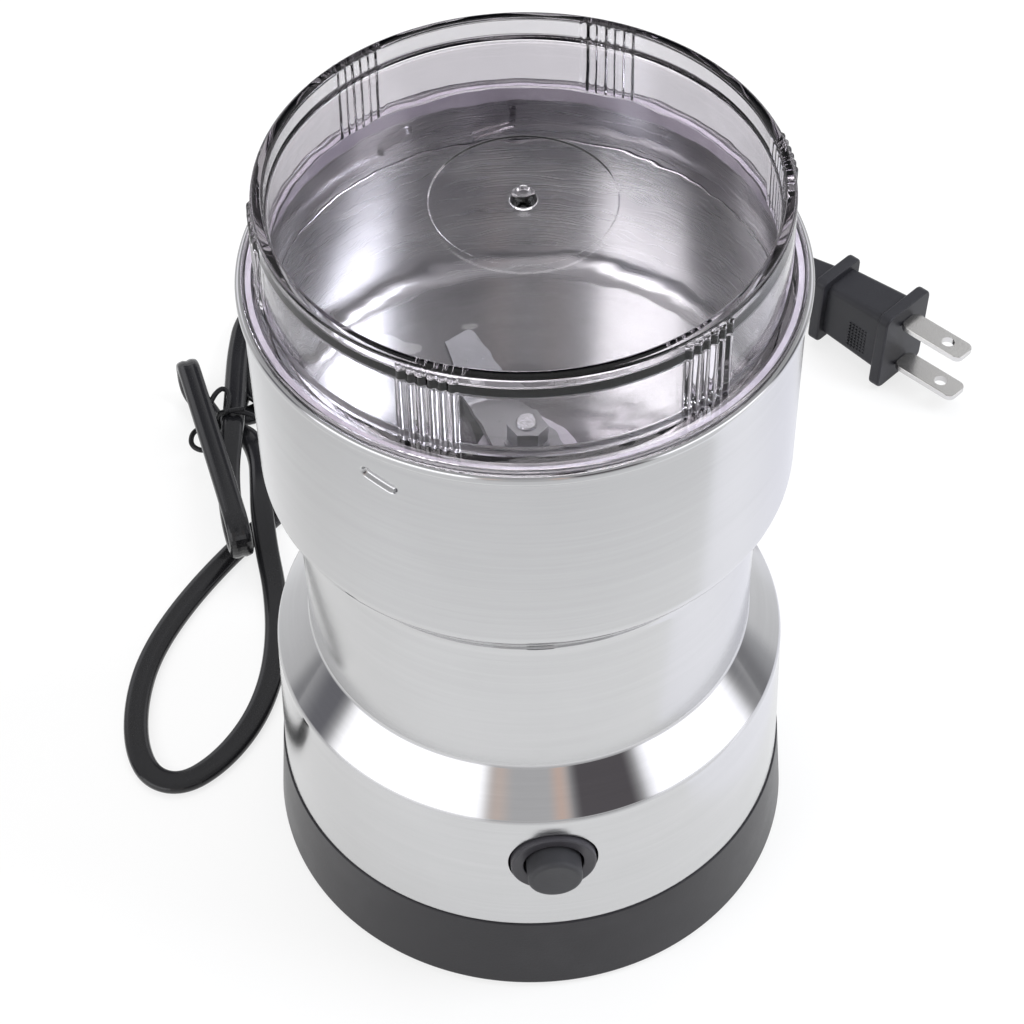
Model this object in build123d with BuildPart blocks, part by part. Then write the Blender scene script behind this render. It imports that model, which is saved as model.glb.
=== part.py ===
"""Electric spice grinder: steel cup and twist-lock lid over a steel housing with a universal motor.

Millimetres. The origin is on the table under the grinder's axis, +Z is up and the button faces -Y.
An azimuth is an angle in degrees about the axis, from the front (-Y) towards +X.
"""

import os
from math import cos, pi, radians, sin, tan

from build123d import *

# ---- Heights of the outside, from the table up
foot_stand = 1.0
base_height = 19.5
lower_wall_height = 32.9
shoulder_height = 8.7
waist_height = 40.6
cup_height = 47.2
lid_rise = 18.7

# ---- Radii of the outside
base_bottom_radius = 53.2
base_taper = 1.6
base_step = 0.3
wall_taper = 1.0
waist_radius = 43.4
flare_radius = 45.6
flare_height = 6.4
cup_radius = 49.2
bead_reach = 0.9
bead_height = 2.0

# ---- Walls and clearances
steel_wall = 0.7
moulded_wall = 2.4
slip_fit = 0.02
running_gap = 0.05
part_gap = 0.2
thread_radius = 1.5
screw_head_radius = 2.8
screw_head_height = 1.8
screw_hole_radius = thread_radius + part_gap

# ---- Cup
cup_corner_radius = 5.0
bead_edge_radius = 0.7
seal_hole_radius = 7.0
lug_count = 3
lug_azimuth = -33.0
lug_length = 7.0
lug_width = 2.4
lug_slope = 17.0
lug_below_rim = 6.9
lug_reach = 1.3
lug_dent = 0.9
stud_circle_radius = 32.0
stud_azimuth = 0.0
stud_length = 8.0
stud_head_radius = 2.6
stud_head_height = 0.6
nut_across_flats = 5.5
nut_height = 2.4

# ---- Lid
lid_seat_gap = 0.1
flange_inset = 0.2
flange_thickness = 1.0
skirt_step = 0.7
skirt_taper = 0.3
lid_wall = 2.2
lid_recess = 3.6
lid_plate = 1.8
lid_edge_radius = 0.6
plug_skirt_gap = 1.6
plug_skirt_wall = 1.8
plug_skirt_depth = 12.0
disc_radius = 16.0
disc_step = 0.3
pip_radius = 2.9
pip_height = 0.5
nub_radius = 1.1
nub_height = 0.8
rib_group_count = 6
rib_group_azimuth = -20.0
ribs_per_group = 6
rib_pitch_angle = 2.2
rib_radius = 0.6
rib_sink = 0.25
rib_below_rim = 1.6
ramp_room = 0.5
ramp_thickness = 1.4
ramp_arc = 15.0
ramp_lead_arc = 6.5
ramp_gap = 0.3
stop_arc = 1.6
stop_rise = 4.6
lid_turn_angle = 22.0
seal_height = 2.9
seal_below_rim = 0.3
seal_gap = 0.3

# ---- Blade and its fixings
blade_azimuth = -146.0
blade_length = 48.0
blade_root_width = 12.0
blade_tip_width = 8.0
blade_thickness = 1.4
blade_flat_length = 28.0
blade_tip_rise = 4.5
blade_tip_corner = 1.5
blade_corner = 2.5
spindle_radius = 2.0
hub_radius = 5.0
hub_height = 0.9
washer_radius = 4.2
washer_height = 0.6
blade_nut_across_flats = 6.6
blade_nut_height = 4.4
spindle_above_nut = 0.8
shaft_radius = 2.5
shaft_seal_flange_radius = 9.5
shaft_seal_flange_height = 0.8
shaft_seal_depth = 2.6

# ---- Plate under the cup
plate_radius = 41.0
plate_thickness = 1.5
lip_inner_radius = 36.0
plate_bore_radius = 12.0

# ---- Motor, hung under the plate
mount_height = 8.0
mount_radius = 5.0
mount_circle_radius = 28.0
mount_azimuth = 60.0
bracket_thickness = 3.0
upper_bracket_radius = 33.5
upper_leg_length = 15.5
core_height = 18.0
core_length = 54.0
core_width = 46.0
core_corner_radius = 6.0
pole_wall = 0.8
air_gap = 0.5
lower_leg_length = 24.0
leg_length_x = 6.0
leg_width = 14.0
lower_bracket_radius = 29.5
bearing_radius = 8.0
bearing_height = 7.0
boss_wall = 2.5
motor_screw_inset = 3.4
coil_depth = 5.0
coil_half_width = 16.2
coil_bar = 4.8
coil_end_rise = 6.0
coil_gap = 0.3
rotor_slot_count = 12
rotor_slot_width = 2.2
rotor_slot_depth = 4.0
winding_step = 1.9
winding_height = 6.0
winding_gap = 0.4
commutator_radius = 8.0
commutator_height = 11.0
commutator_gap = 0.8
commutator_bar_count = 12
commutator_groove = 0.5
brush_width = 5.0
brush_height = 6.4
brush_length = 12.0
brush_gap = 0.05
holder_wall = 0.8
holder_length = 14.0
holder_gap = 1.0
holder_post_width = 8.0
fan_gap = 2.5
fan_radius = 27.0
fan_height = 9.0
fan_plate = 1.5
fan_rim = 1.2
fan_hub_radius = 6.0
fan_blade_count = 9
fan_blade_thickness = 1.2
shaft_below_fan = 2.0

# ---- Tie rods from the plate to the base
tie_circle_radius = 37.2
tie_azimuth = 30.0
tie_count = 3

# ---- Base
spigot_height = 4.0
spigot_wall = 2.0
shelf_inner_radius = 33.0
shelf_thickness = 2.5
base_edge_radius = 0.8
boss_inset = 5.7
boss_azimuth = 0.0
boss_count = 3
boss_radius = 3.6
base_plate_thickness = 2.4
base_plate_inset = 0.6
vent_count = 14
vent_circle_radius = 24.0
vent_length = 14.0
vent_width = 3.0
foot_radius = 5.5
foot_inset = 12.8
foot_count = 4

# ---- Button and switch
button_azimuth = 5.4
button_z = 40.0
button_hole_radius = 8.6
button_hole_edge = 0.4
button_radius = 5.3
button_proud = 4.5
button_travel = 2.5
button_corner = 0.9
button_bore_gap = 0.2
button_collar_radius = 6.4
button_collar_thickness = 1.2
stem_radius = 2.0
bezel_recess = 1.6
holder_thickness = 3.0
holder_plate_width = 18.0
holder_rise = 14.0
collar_room = 4.2
switch_length = 10.0
switch_width = 13.0
terminal_width = 4.8
terminal_thickness = 0.8
terminal_length = 5.0
terminal_spacing = 7.0

# ---- Cord, strain relief and clamp
cord_width = 5.4
cord_floor_gap = 0.1
exit_z = 9.5
grommet_radius = 5.2
grommet_flange_radius = 6.8
grommet_flange = 2.0
grommet_inner_reach = 2.0
relief_length = 20.0
relief_root_radius = 4.6
relief_tip_radius = 3.2
clamp_length = 8.0
clamp_width = 21.0
clamp_wall = 1.5
clamp_screw_spacing = 13.6
clamp_screw_bite = 2.2
inner_cord_length = 13.0

# ---- Coil, tie and plug
coil_end_radius = 28.0
coil_spread = 24.0
coil_thickness = 11.0
coil_x = -31.0
coil_y = 140.0
coil_nose_x = -60.5
coil_nose_y = 107.0
coil_nose_radius = 7.2
tie_band = 0.8
tie_band_width = 1.6
tie_slack = 2.3
plug_x = 91.4
plug_y = 118.2
plug_z = 11.45
plug_azimuth = 46.5
plug_lean = 3.0
plug_flange_height = 22.2
plug_flange_width = 17.0
plug_flange_thickness = 3.0
plug_flange_corner = 2.2
rear_flange_share = 0.86
plug_body_height = 16.6
plug_body_width = 11.4
plug_body_length = 17.0
plug_body_corner = 1.6
boot_height = 13.0
boot_width = 9.0
boot_length = 14.0
boot_taper = 0.7
blade_spacing = 12.7
pin_width = 6.35
pin_thickness = 1.5
pin_length = 17.5
pin_corner = 1.8
pin_hole_radius = 1.6
pin_hole_reach = 12.0

# ---- Levels and radii that follow
cord_radius = cord_width / 2
base_top_radius = base_bottom_radius - base_taper
wall_bottom_radius = base_top_radius - base_step
wall_top_radius = wall_bottom_radius - wall_taper
base_top_z = foot_stand + base_height
shoulder_low_z = base_top_z + lower_wall_height
shoulder_high_z = shoulder_low_z + shoulder_height
cup_z = shoulder_high_z + waist_height
cup_floor_z = cup_z + steel_wall
flare_z = cup_z - flare_height
rim_z = cup_z + cup_height
lid_top_z = rim_z + lid_rise
cup_inner_radius = cup_radius - steel_wall
bead_radius = cup_radius + bead_reach
flange_radius = cup_radius - flange_inset
plug_skirt_radius = cup_inner_radius - plug_skirt_gap
ramp_radius = cup_inner_radius - ramp_room
skirt_bottom_radius = plug_skirt_radius - skirt_step
skirt_top_radius = skirt_bottom_radius - skirt_taper
lug_z = rim_z - lug_below_rim
plate_top_z = cup_z - steel_wall
plate_bottom_z = plate_top_z - plate_thickness
upper_bracket_top_z = plate_bottom_z - mount_height
upper_bracket_z = upper_bracket_top_z - bracket_thickness
core_top_z = upper_bracket_z - upper_leg_length
core_z = core_top_z - core_height
lower_bracket_top_z = core_z - lower_leg_length
lower_bracket_z = lower_bracket_top_z - bracket_thickness
fan_top_z = lower_bracket_z - (bearing_height - bracket_thickness) / 2 - fan_gap
fan_z = fan_top_z - fan_height
shaft_bottom_z = fan_z - shaft_below_fan
commutator_top_z = core_z - winding_height - winding_gap - commutator_gap
commutator_z = commutator_top_z - commutator_height
brush_z = (commutator_z + commutator_top_z) / 2
shelf_z = base_top_z - shelf_thickness
base_plate_z = foot_stand + base_plate_inset
base_plate_top_z = base_plate_z + base_plate_thickness
shaft_seal_top_z = cup_floor_z + shaft_seal_flange_height
hub_z = shaft_seal_top_z + part_gap
blade_z = hub_z + hub_height
washer_z = blade_z + blade_thickness
blade_nut_z = washer_z + washer_height
spindle_top_z = blade_nut_z + blade_nut_height + spindle_above_nut
base_slope = (base_bottom_radius - base_top_radius) / base_height
wall_slope = (wall_bottom_radius - wall_top_radius) / lower_wall_height
wall_radius_at_button = wall_bottom_radius - wall_slope * (button_z - base_top_z)
wall_inner_at_button = wall_radius_at_button - steel_wall
base_radius_at_exit = base_bottom_radius - base_slope * (exit_z - grommet_flange_radius - foot_stand)
base_inner_bottom = base_bottom_radius - moulded_wall
base_inner_top = base_top_radius - moulded_wall
boss_circle_radius = base_inner_top - boss_inset
foot_circle_radius = base_inner_bottom - foot_inset
motor_screw_offset = core_length / 2 - motor_screw_inset
coil_inner_x = core_length / 2 - leg_length_x - part_gap - coil_depth
core_bore_radius = coil_inner_x - pole_wall
relief_start = base_radius_at_exit + running_gap + grommet_flange
inner_cord_start = base_inner_bottom - grommet_inner_reach - inner_cord_length
clamp_y = inner_cord_start + inner_cord_length / 2
clamp_bottom_z = exit_z - cord_radius - clamp_wall
cord_low_z = cord_radius + cord_floor_gap


def compass(azimuth, radius=0.0, z=0.0):
    """The plane at that azimuth and radius, with x along the tangent, y up and z pointing outwards."""
    turn = radians(azimuth)
    return Plane(
        origin=(radius * sin(turn), -radius * cos(turn), z),
        x_dir=(cos(turn), sin(turn), 0),
        z_dir=(sin(turn), -cos(turn), 0),
    )


def around(radius, count, azimuth):
    """Evenly spaced places on a circle, the first at that azimuth."""
    return PolarLocations(radius, count, start_angle=azimuth - 90)


def round_corner(sketch, radius, *points):
    """Rounds the sketch's corners nearest to the points."""
    for point in points:
        fillet(sketch.vertices().sort_by_distance(Vector(*point))[0], radius)


def finish(part, name):
    """Labels the piece and writes its STEP file."""
    part.part.label = name
    export_step(part.part, "parts/" + name + ".step")


os.makedirs("parts", exist_ok=True)

# ---- Grinding cup: floor, wall with rolled bead, and pressed-in lugs that hold the lid
with BuildPart() as grinding_cup:
    with BuildSketch(Plane.XZ) as cup_profile:
        with BuildLine():
            Polyline(
                (seal_hole_radius, cup_z),
                (cup_radius, cup_z),
                (cup_radius, rim_z - bead_height),
                (bead_radius, rim_z - bead_height),
                (bead_radius, rim_z),
                (cup_inner_radius, rim_z),
                (cup_inner_radius, cup_floor_z),
                (seal_hole_radius, cup_floor_z),
                close=True,
            )
        make_face()
        round_corner(cup_profile, cup_corner_radius, (cup_radius, cup_z))
        round_corner(cup_profile, cup_corner_radius - steel_wall, (cup_inner_radius, cup_floor_z))
        round_corner(cup_profile, bead_edge_radius, (bead_radius, rim_z), (bead_radius, rim_z - bead_height))
    revolve(axis=Axis.Z)
    for step in range(lug_count):
        azimuth = lug_azimuth + step * 360 / lug_count
        with BuildSketch(compass(azimuth, cup_inner_radius - lug_reach, lug_z)):
            SlotOverall(lug_length, lug_width, rotation=-lug_slope)
        extrude(amount=lug_reach + steel_wall / 2)
        with BuildSketch(compass(azimuth, cup_radius - lug_dent, lug_z)):
            SlotOverall(lug_length - 2 * steel_wall, lug_width - steel_wall, rotation=-lug_slope)
        extrude(amount=2 * lug_dent, mode=Mode.SUBTRACT)
finish(grinding_cup, "grinding_cup")

# ---- Studs welded under the cup, and their nuts below the plate
with BuildPart() as cup_studs:
    with around(stud_circle_radius, lug_count, stud_azimuth):
        with Locations((0, 0, cup_z - stud_head_height)):
            Cylinder(stud_head_radius, stud_head_height, align=(Align.CENTER, Align.CENTER, Align.MIN))
        with Locations((0, 0, cup_z - stud_head_height)):
            Cylinder(thread_radius, stud_length, align=(Align.CENTER, Align.CENTER, Align.MAX))
finish(cup_studs, "cup_studs")

with BuildPart() as cup_nuts:
    with BuildSketch(Plane.XY.offset(plate_bottom_z - nut_height)):
        with around(stud_circle_radius, lug_count, stud_azimuth):
            RegularPolygon(nut_across_flats / 2, 6, major_radius=False)
            Circle(thread_radius + slip_fit, mode=Mode.SUBTRACT)
    extrude(amount=nut_height)
finish(cup_nuts, "cup_nuts")

# ---- Plate that clamps the housing's lip against the cup and carries the motor
with BuildPart() as mounting_plate:
    with BuildSketch(Plane.XY.offset(plate_bottom_z)):
        Circle(plate_radius)
        Circle(plate_bore_radius, mode=Mode.SUBTRACT)
        with around(stud_circle_radius, lug_count, stud_azimuth):
            Circle(screw_hole_radius, mode=Mode.SUBTRACT)
        with around(mount_circle_radius, lug_count, mount_azimuth):
            Circle(screw_hole_radius, mode=Mode.SUBTRACT)
        with around(tie_circle_radius, tie_count, tie_azimuth):
            Circle(screw_hole_radius, mode=Mode.SUBTRACT)
    extrude(amount=plate_thickness)
finish(mounting_plate, "mounting_plate")

# ---- Lip seal round the shaft, clipped in the cup's floor
with BuildPart() as shaft_seal:
    with Locations((0, 0, cup_floor_z)):
        Cylinder(
            shaft_seal_flange_radius,
            shaft_seal_flange_height,
            align=(Align.CENTER, Align.CENTER, Align.MIN),
        )
    with Locations((0, 0, cup_floor_z)):
        Cylinder(seal_hole_radius - slip_fit, shaft_seal_depth, align=(Align.CENTER, Align.CENTER, Align.MAX))
    with Locations((0, 0, cup_floor_z)):
        Cylinder(shaft_radius + running_gap, 4 * shaft_seal_depth, mode=Mode.SUBTRACT)
    fillet(shaft_seal.edges().filter_by(GeomType.CIRCLE).sort_by(Axis.Z)[-1], part_gap)
finish(shaft_seal, "shaft_seal")

# ---- Housing: lower wall, cone shoulder and flared waist, with a lip turned in under the cup
with BuildPart() as housing_shell:
    with BuildSketch(Plane.XZ) as shell_profile:
        with BuildLine():
            Polyline(
                (waist_radius - steel_wall, flare_z),
                (waist_radius - steel_wall, shoulder_high_z - steel_wall / 3),
                (wall_top_radius - steel_wall, shoulder_low_z - steel_wall / 3),
                (wall_bottom_radius - steel_wall, base_top_z),
                (wall_bottom_radius, base_top_z),
                (wall_top_radius, shoulder_low_z),
                (waist_radius, shoulder_high_z),
                (waist_radius, flare_z),
            )
            TangentArc((waist_radius, flare_z), (flare_radius, cup_z), tangent=(0, 1))
            Polyline(
                (flare_radius, cup_z),
                (lip_inner_radius, cup_z),
                (lip_inner_radius, plate_top_z),
                (flare_radius - 1.3 * steel_wall, plate_top_z),
            )
            TangentArc(
                (waist_radius - steel_wall, flare_z),
                (flare_radius - 1.3 * steel_wall, plate_top_z),
                tangent=(0, 1),
            )
        make_face()
        round_corner(shell_profile, 3 * steel_wall, (wall_top_radius, shoulder_low_z))
        round_corner(shell_profile, 2 * steel_wall, (waist_radius, shoulder_high_z))
    revolve(axis=Axis.Z)
    with BuildSketch(compass(button_azimuth, wall_radius_at_button / 2, button_z)):
        Circle(button_hole_radius)
    extrude(amount=wall_radius_at_button, mode=Mode.SUBTRACT)
finish(housing_shell, "housing_shell")

# ---- Base ring: outer wall, spigot inside the housing, shelf and screw bosses
spigot_radius = wall_bottom_radius - steel_wall - wall_slope * spigot_height - part_gap
with BuildPart() as base_ring:
    with BuildSketch(Plane.XZ) as base_profile:
        with BuildLine():
            Polyline(
                (base_bottom_radius, foot_stand),
                (base_top_radius, base_top_z),
                (spigot_radius, base_top_z),
                (spigot_radius, base_top_z + spigot_height),
                (spigot_radius - spigot_wall, base_top_z + spigot_height),
                (spigot_radius - spigot_wall, base_top_z),
                (shelf_inner_radius, base_top_z),
                (shelf_inner_radius, shelf_z),
                (base_inner_top, shelf_z),
                (base_inner_bottom, foot_stand),
                close=True,
            )
        make_face()
        round_corner(base_profile, base_edge_radius, (base_bottom_radius, foot_stand))
    revolve(axis=Axis.Z)
    with BuildSketch(Plane.XY.offset(base_plate_top_z)):
        with around(boss_circle_radius, boss_count, boss_azimuth):
            Circle(boss_radius)
    extrude(amount=shelf_z - base_plate_top_z)
    with BuildSketch(Plane.XY.offset(base_plate_top_z)):
        with around(boss_circle_radius, boss_count, boss_azimuth):
            Circle(thread_radius + slip_fit)
    extrude(amount=shelf_z - base_plate_top_z, mode=Mode.SUBTRACT)
    with BuildSketch(Plane.XY.offset(shelf_z)):
        with around(tie_circle_radius, tie_count, tie_azimuth):
            Circle(screw_hole_radius)
        with Locations((clamp_screw_spacing / 2, clamp_y), (-clamp_screw_spacing / 2, clamp_y)):
            Circle(thread_radius + slip_fit)
    extrude(amount=shelf_thickness, mode=Mode.SUBTRACT)
    with BuildSketch(compass(180, shelf_inner_radius, exit_z)):
        Circle(grommet_radius + slip_fit)
    extrude(amount=base_bottom_radius, mode=Mode.SUBTRACT)
finish(base_ring, "base_ring")

# ---- Base plate with vents, its screws and feet
with BuildPart() as base_plate:
    with BuildSketch(Plane.XY.offset(base_plate_z)):
        Circle(base_inner_bottom - base_slope * base_plate_thickness - part_gap)
        with around(boss_circle_radius, boss_count, boss_azimuth):
            Circle(screw_hole_radius, mode=Mode.SUBTRACT)
        with around(vent_circle_radius, vent_count, 0):
            SlotOverall(vent_length, vent_width, mode=Mode.SUBTRACT)
    extrude(amount=base_plate_thickness)
    with BuildSketch(Plane.XY.offset(base_plate_z)):
        with around(boss_circle_radius, boss_count, boss_azimuth):
            Circle(screw_head_radius + part_gap)
    extrude(amount=base_plate_thickness / 2, mode=Mode.SUBTRACT)
finish(base_plate, "base_plate")

with BuildPart() as base_screws:
    with around(boss_circle_radius, boss_count, boss_azimuth):
        with Locations((0, 0, base_plate_z + base_plate_thickness / 2)):
            Cylinder(screw_head_radius, base_plate_thickness / 2, align=(Align.CENTER, Align.CENTER, Align.MAX))
        with Locations((0, 0, base_plate_z + base_plate_thickness / 2)):
            Cylinder(thread_radius, shelf_z - base_plate_top_z, align=(Align.CENTER, Align.CENTER, Align.MIN))
finish(base_screws, "base_screws")

with BuildPart() as rubber_feet:
    with BuildSketch():
        with around(foot_circle_radius, foot_count, 180 / foot_count):
            Circle(foot_radius)
    extrude(amount=base_plate_z)
    chamfer(rubber_feet.faces().sort_by(Axis.Z)[0:foot_count].edges(), foot_stand / 2)
finish(rubber_feet, "rubber_feet")

# ---- Tie rods and nuts that pull the plate and the base ring together
with BuildPart() as tie_rods:
    with BuildSketch(Plane.XY.offset(shelf_z - 2 * nut_height)):
        with around(tie_circle_radius, tie_count, tie_azimuth):
            Circle(thread_radius)
    extrude(amount=plate_top_z - shelf_z + 2 * nut_height)
finish(tie_rods, "tie_rods")

with BuildPart() as tie_nuts:
    for nut_z in (plate_bottom_z - nut_height, shelf_z - nut_height):
        with BuildSketch(Plane.XY.offset(nut_z)):
            with around(tie_circle_radius, tie_count, tie_azimuth):
                RegularPolygon(nut_across_flats / 2, 6, major_radius=False)
                Circle(thread_radius + slip_fit, mode=Mode.SUBTRACT)
        extrude(amount=nut_height)
finish(tie_nuts, "tie_nuts")

# ---- Motor brackets: a plate with a bearing boss, and two legs against the stator
boss_outer_radius = bearing_radius + boss_wall
leg_x = core_length / 2 - leg_length_x / 2
with BuildPart() as upper_bracket:
    with BuildSketch(Plane.XY.offset(upper_bracket_z)):
        Circle(upper_bracket_radius)
        with around(mount_circle_radius, lug_count, mount_azimuth):
            Circle(screw_hole_radius, mode=Mode.SUBTRACT)
    extrude(amount=bracket_thickness)
    with BuildSketch(Plane.XY.offset(upper_bracket_top_z - bearing_height)):
        Circle(boss_outer_radius)
    extrude(amount=bearing_height)
    with BuildSketch(Plane.XY.offset(core_top_z)):
        with Locations((leg_x, 0), (-leg_x, 0)):
            Rectangle(leg_length_x, leg_width)
    extrude(amount=upper_leg_length)
    with BuildSketch(Plane.XY.offset(core_top_z)):
        Circle(bearing_radius + slip_fit)
        with Locations((motor_screw_offset, 0), (-motor_screw_offset, 0)):
            Circle(screw_hole_radius)
    extrude(amount=upper_leg_length + bracket_thickness, mode=Mode.SUBTRACT)
finish(upper_bracket, "upper_bracket")

with BuildPart() as lower_bracket:
    with BuildSketch(Plane.XY.offset(lower_bracket_z)):
        Circle(lower_bracket_radius)
    extrude(amount=bracket_thickness)
    with BuildSketch(Plane.XY.offset(lower_bracket_top_z - (bearing_height + bracket_thickness) / 2)):
        Circle(boss_outer_radius)
    extrude(amount=bearing_height)
    with BuildSketch(Plane.XY.offset(lower_bracket_top_z)):
        with Locations((leg_x, 0), (-leg_x, 0)):
            Rectangle(leg_length_x, leg_width)
    extrude(amount=lower_leg_length)
    holder_y = commutator_radius + holder_gap + holder_length / 2
    holder_half_height = brush_height / 2 + holder_wall
    with BuildSketch(Plane.XY.offset(lower_bracket_top_z)):
        with Locations((0, holder_y), (0, -holder_y)):
            Rectangle(holder_post_width, holder_length - 2 * holder_wall)
    extrude(amount=brush_z - holder_half_height - lower_bracket_top_z)
    with BuildSketch(Plane.XY.offset(lower_bracket_z - bearing_height)):
        Circle(bearing_radius + slip_fit)
        with Locations((motor_screw_offset, 0), (-motor_screw_offset, 0)):
            Circle(screw_hole_radius)
    extrude(amount=bearing_height + bracket_thickness + lower_leg_length, mode=Mode.SUBTRACT)
finish(lower_bracket, "lower_bracket")

# ---- Sintered bearings
upper_bearing_z = upper_bracket_top_z - bearing_height
lower_bearing_z = lower_bracket_top_z - (bearing_height + bracket_thickness) / 2
with BuildPart() as upper_bearing:
    with BuildSketch(Plane.XY.offset(upper_bearing_z)):
        Circle(bearing_radius)
        Circle(shaft_radius + running_gap, mode=Mode.SUBTRACT)
    extrude(amount=bearing_height)
finish(upper_bearing, "upper_bearing")

with BuildPart() as lower_bearing:
    with BuildSketch(Plane.XY.offset(lower_bearing_z)):
        Circle(bearing_radius)
        Circle(shaft_radius + running_gap, mode=Mode.SUBTRACT)
    extrude(amount=bearing_height)
finish(lower_bearing, "lower_bearing")

# ---- Long screws through brackets and stator
with BuildPart() as motor_screws:
    with BuildSketch(Plane.XY.offset(lower_bracket_z)):
        with Locations((motor_screw_offset, 0), (-motor_screw_offset, 0)):
            Circle(thread_radius)
    extrude(amount=upper_bracket_top_z - lower_bracket_z)
    with BuildSketch(Plane.XY.offset(lower_bracket_z)):
        with Locations((motor_screw_offset, 0), (-motor_screw_offset, 0)):
            Circle(screw_head_radius)
    extrude(amount=-screw_head_height)
finish(motor_screws, "motor_screws")

# ---- Rubber mounts between bracket and plate, and their screws
with BuildPart() as motor_mounts:
    with BuildSketch(Plane.XY.offset(upper_bracket_top_z)):
        with around(mount_circle_radius, lug_count, mount_azimuth):
            Circle(mount_radius)
            Circle(screw_hole_radius, mode=Mode.SUBTRACT)
    extrude(amount=mount_height)
finish(motor_mounts, "motor_mounts")

with BuildPart() as mount_screws:
    with BuildSketch(Plane.XY.offset(upper_bracket_z)):
        with around(mount_circle_radius, lug_count, mount_azimuth):
            Circle(thread_radius)
    extrude(amount=plate_top_z - upper_bracket_z)
    with BuildSketch(Plane.XY.offset(upper_bracket_z)):
        with around(mount_circle_radius, lug_count, mount_azimuth):
            Circle(screw_head_radius)
    extrude(amount=-screw_head_height)
finish(mount_screws, "mount_screws")

# ---- Stator: laminated block with a bore, slots for the coils and holes for the screws
slot_x = coil_inner_x + coil_depth / 2
slot_y = coil_half_width - coil_bar / 2
with BuildPart() as stator_core:
    with BuildSketch(Plane.XY.offset(core_z)):
        RectangleRounded(core_length, core_width, core_corner_radius)
        Circle(core_bore_radius, mode=Mode.SUBTRACT)
        with Locations((slot_x, slot_y), (-slot_x, slot_y), (slot_x, -slot_y), (-slot_x, -slot_y)):
            Rectangle(coil_depth + 2 * coil_gap, coil_bar + 2 * coil_gap, mode=Mode.SUBTRACT)
        with Locations((motor_screw_offset, 0), (-motor_screw_offset, 0)):
            Circle(screw_hole_radius, mode=Mode.SUBTRACT)
    extrude(amount=core_height)
finish(stator_core, "stator_core")

core_middle_z = core_z + core_height / 2
with BuildPart() as field_coils:
    for side in (1, -1):
        coil_plane = Plane(
            origin=(side * coil_inner_x, 0, core_middle_z), x_dir=(0, side, 0), z_dir=(side, 0, 0)
        )
        with BuildSketch(coil_plane):
            RectangleRounded(2 * coil_half_width, core_height + 2 * coil_end_rise, coil_bar / 2)
            Rectangle(
                2 * (coil_half_width - coil_bar),
                core_height + 2 * coil_gap,
                mode=Mode.SUBTRACT,
            )
        extrude(amount=coil_depth)
finish(field_coils, "field_coils")

# ---- Rotor: shaft, core, end windings, commutator and fan
rotor_radius = core_bore_radius - air_gap
winding_radius = rotor_radius - winding_step
with BuildPart() as motor_shaft:
    with BuildSketch(Plane.XY.offset(shaft_bottom_z)):
        Circle(shaft_radius)
    extrude(amount=blade_z - shaft_bottom_z)
    with BuildSketch(Plane.XY.offset(blade_z)):
        Circle(spindle_radius)
    extrude(amount=spindle_top_z - blade_z)
    chamfer(motor_shaft.faces().sort_by(Axis.Z)[-1].edges(), steel_wall / 2)
finish(motor_shaft, "motor_shaft")

with BuildPart() as rotor_core:
    with BuildSketch(Plane.XY.offset(core_z)):
        Circle(rotor_radius)
        Circle(shaft_radius + slip_fit, mode=Mode.SUBTRACT)
        with around(rotor_radius - rotor_slot_depth / 2, rotor_slot_count, 0):
            Rectangle(rotor_slot_depth + slip_fit, rotor_slot_width, mode=Mode.SUBTRACT)
    extrude(amount=core_height)
finish(rotor_core, "rotor_core")

with BuildPart() as rotor_windings:
    for winding_z in (core_top_z + winding_gap, core_z - winding_gap - winding_height):
        with BuildSketch(Plane.XY.offset(winding_z)):
            Circle(winding_radius)
            Circle(shaft_radius + slip_fit, mode=Mode.SUBTRACT)
        extrude(amount=winding_height)
    fillet(rotor_windings.edges().filter_by(GeomType.CIRCLE).filter_by(
        lambda edge: abs(edge.radius - winding_radius) < slip_fit), winding_height / 3)
finish(rotor_windings, "rotor_windings")

with BuildPart() as commutator:
    with BuildSketch(Plane.XY.offset(commutator_z)):
        Circle(commutator_radius)
        Circle(shaft_radius + slip_fit, mode=Mode.SUBTRACT)
        with around(commutator_radius, commutator_bar_count, 0):
            Rectangle(2 * commutator_groove, commutator_groove, mode=Mode.SUBTRACT)
    extrude(amount=commutator_height)
finish(commutator, "commutator")

with BuildPart() as cooling_fan:
    with BuildSketch(Plane.XY.offset(fan_top_z - fan_plate)):
        Circle(fan_radius)
    extrude(amount=fan_plate)
    with BuildSketch(Plane.XY.offset(fan_z)):
        Circle(fan_hub_radius)
        with around(0, fan_blade_count, 0):
            Rectangle(fan_radius - fan_rim, fan_blade_thickness, align=(Align.MIN, Align.CENTER))
    extrude(amount=fan_height)
    with BuildSketch(Plane.XY.offset(fan_z)):
        Circle(shaft_radius + slip_fit)
    extrude(amount=fan_height, mode=Mode.SUBTRACT)
finish(cooling_fan, "cooling_fan")

# ---- Carbon brushes in brass holders, front and back of the commutator
brush_start = commutator_radius + brush_gap
holder_start = commutator_radius + holder_gap
with BuildPart() as brush_holders:
    for azimuth in (0, 180):
        with BuildSketch(compass(azimuth, holder_start, brush_z)):
            Rectangle(brush_width + 2 * holder_wall, brush_height + 2 * holder_wall)
            Rectangle(brush_width + 2 * brush_gap, brush_height + 2 * brush_gap, mode=Mode.SUBTRACT)
        extrude(amount=holder_length)
        with BuildSketch(compass(azimuth, holder_start + holder_length, brush_z)):
            Rectangle(brush_width + 2 * holder_wall, brush_height + 2 * holder_wall)
        extrude(amount=holder_wall)
finish(brush_holders, "brush_holders")

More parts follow.
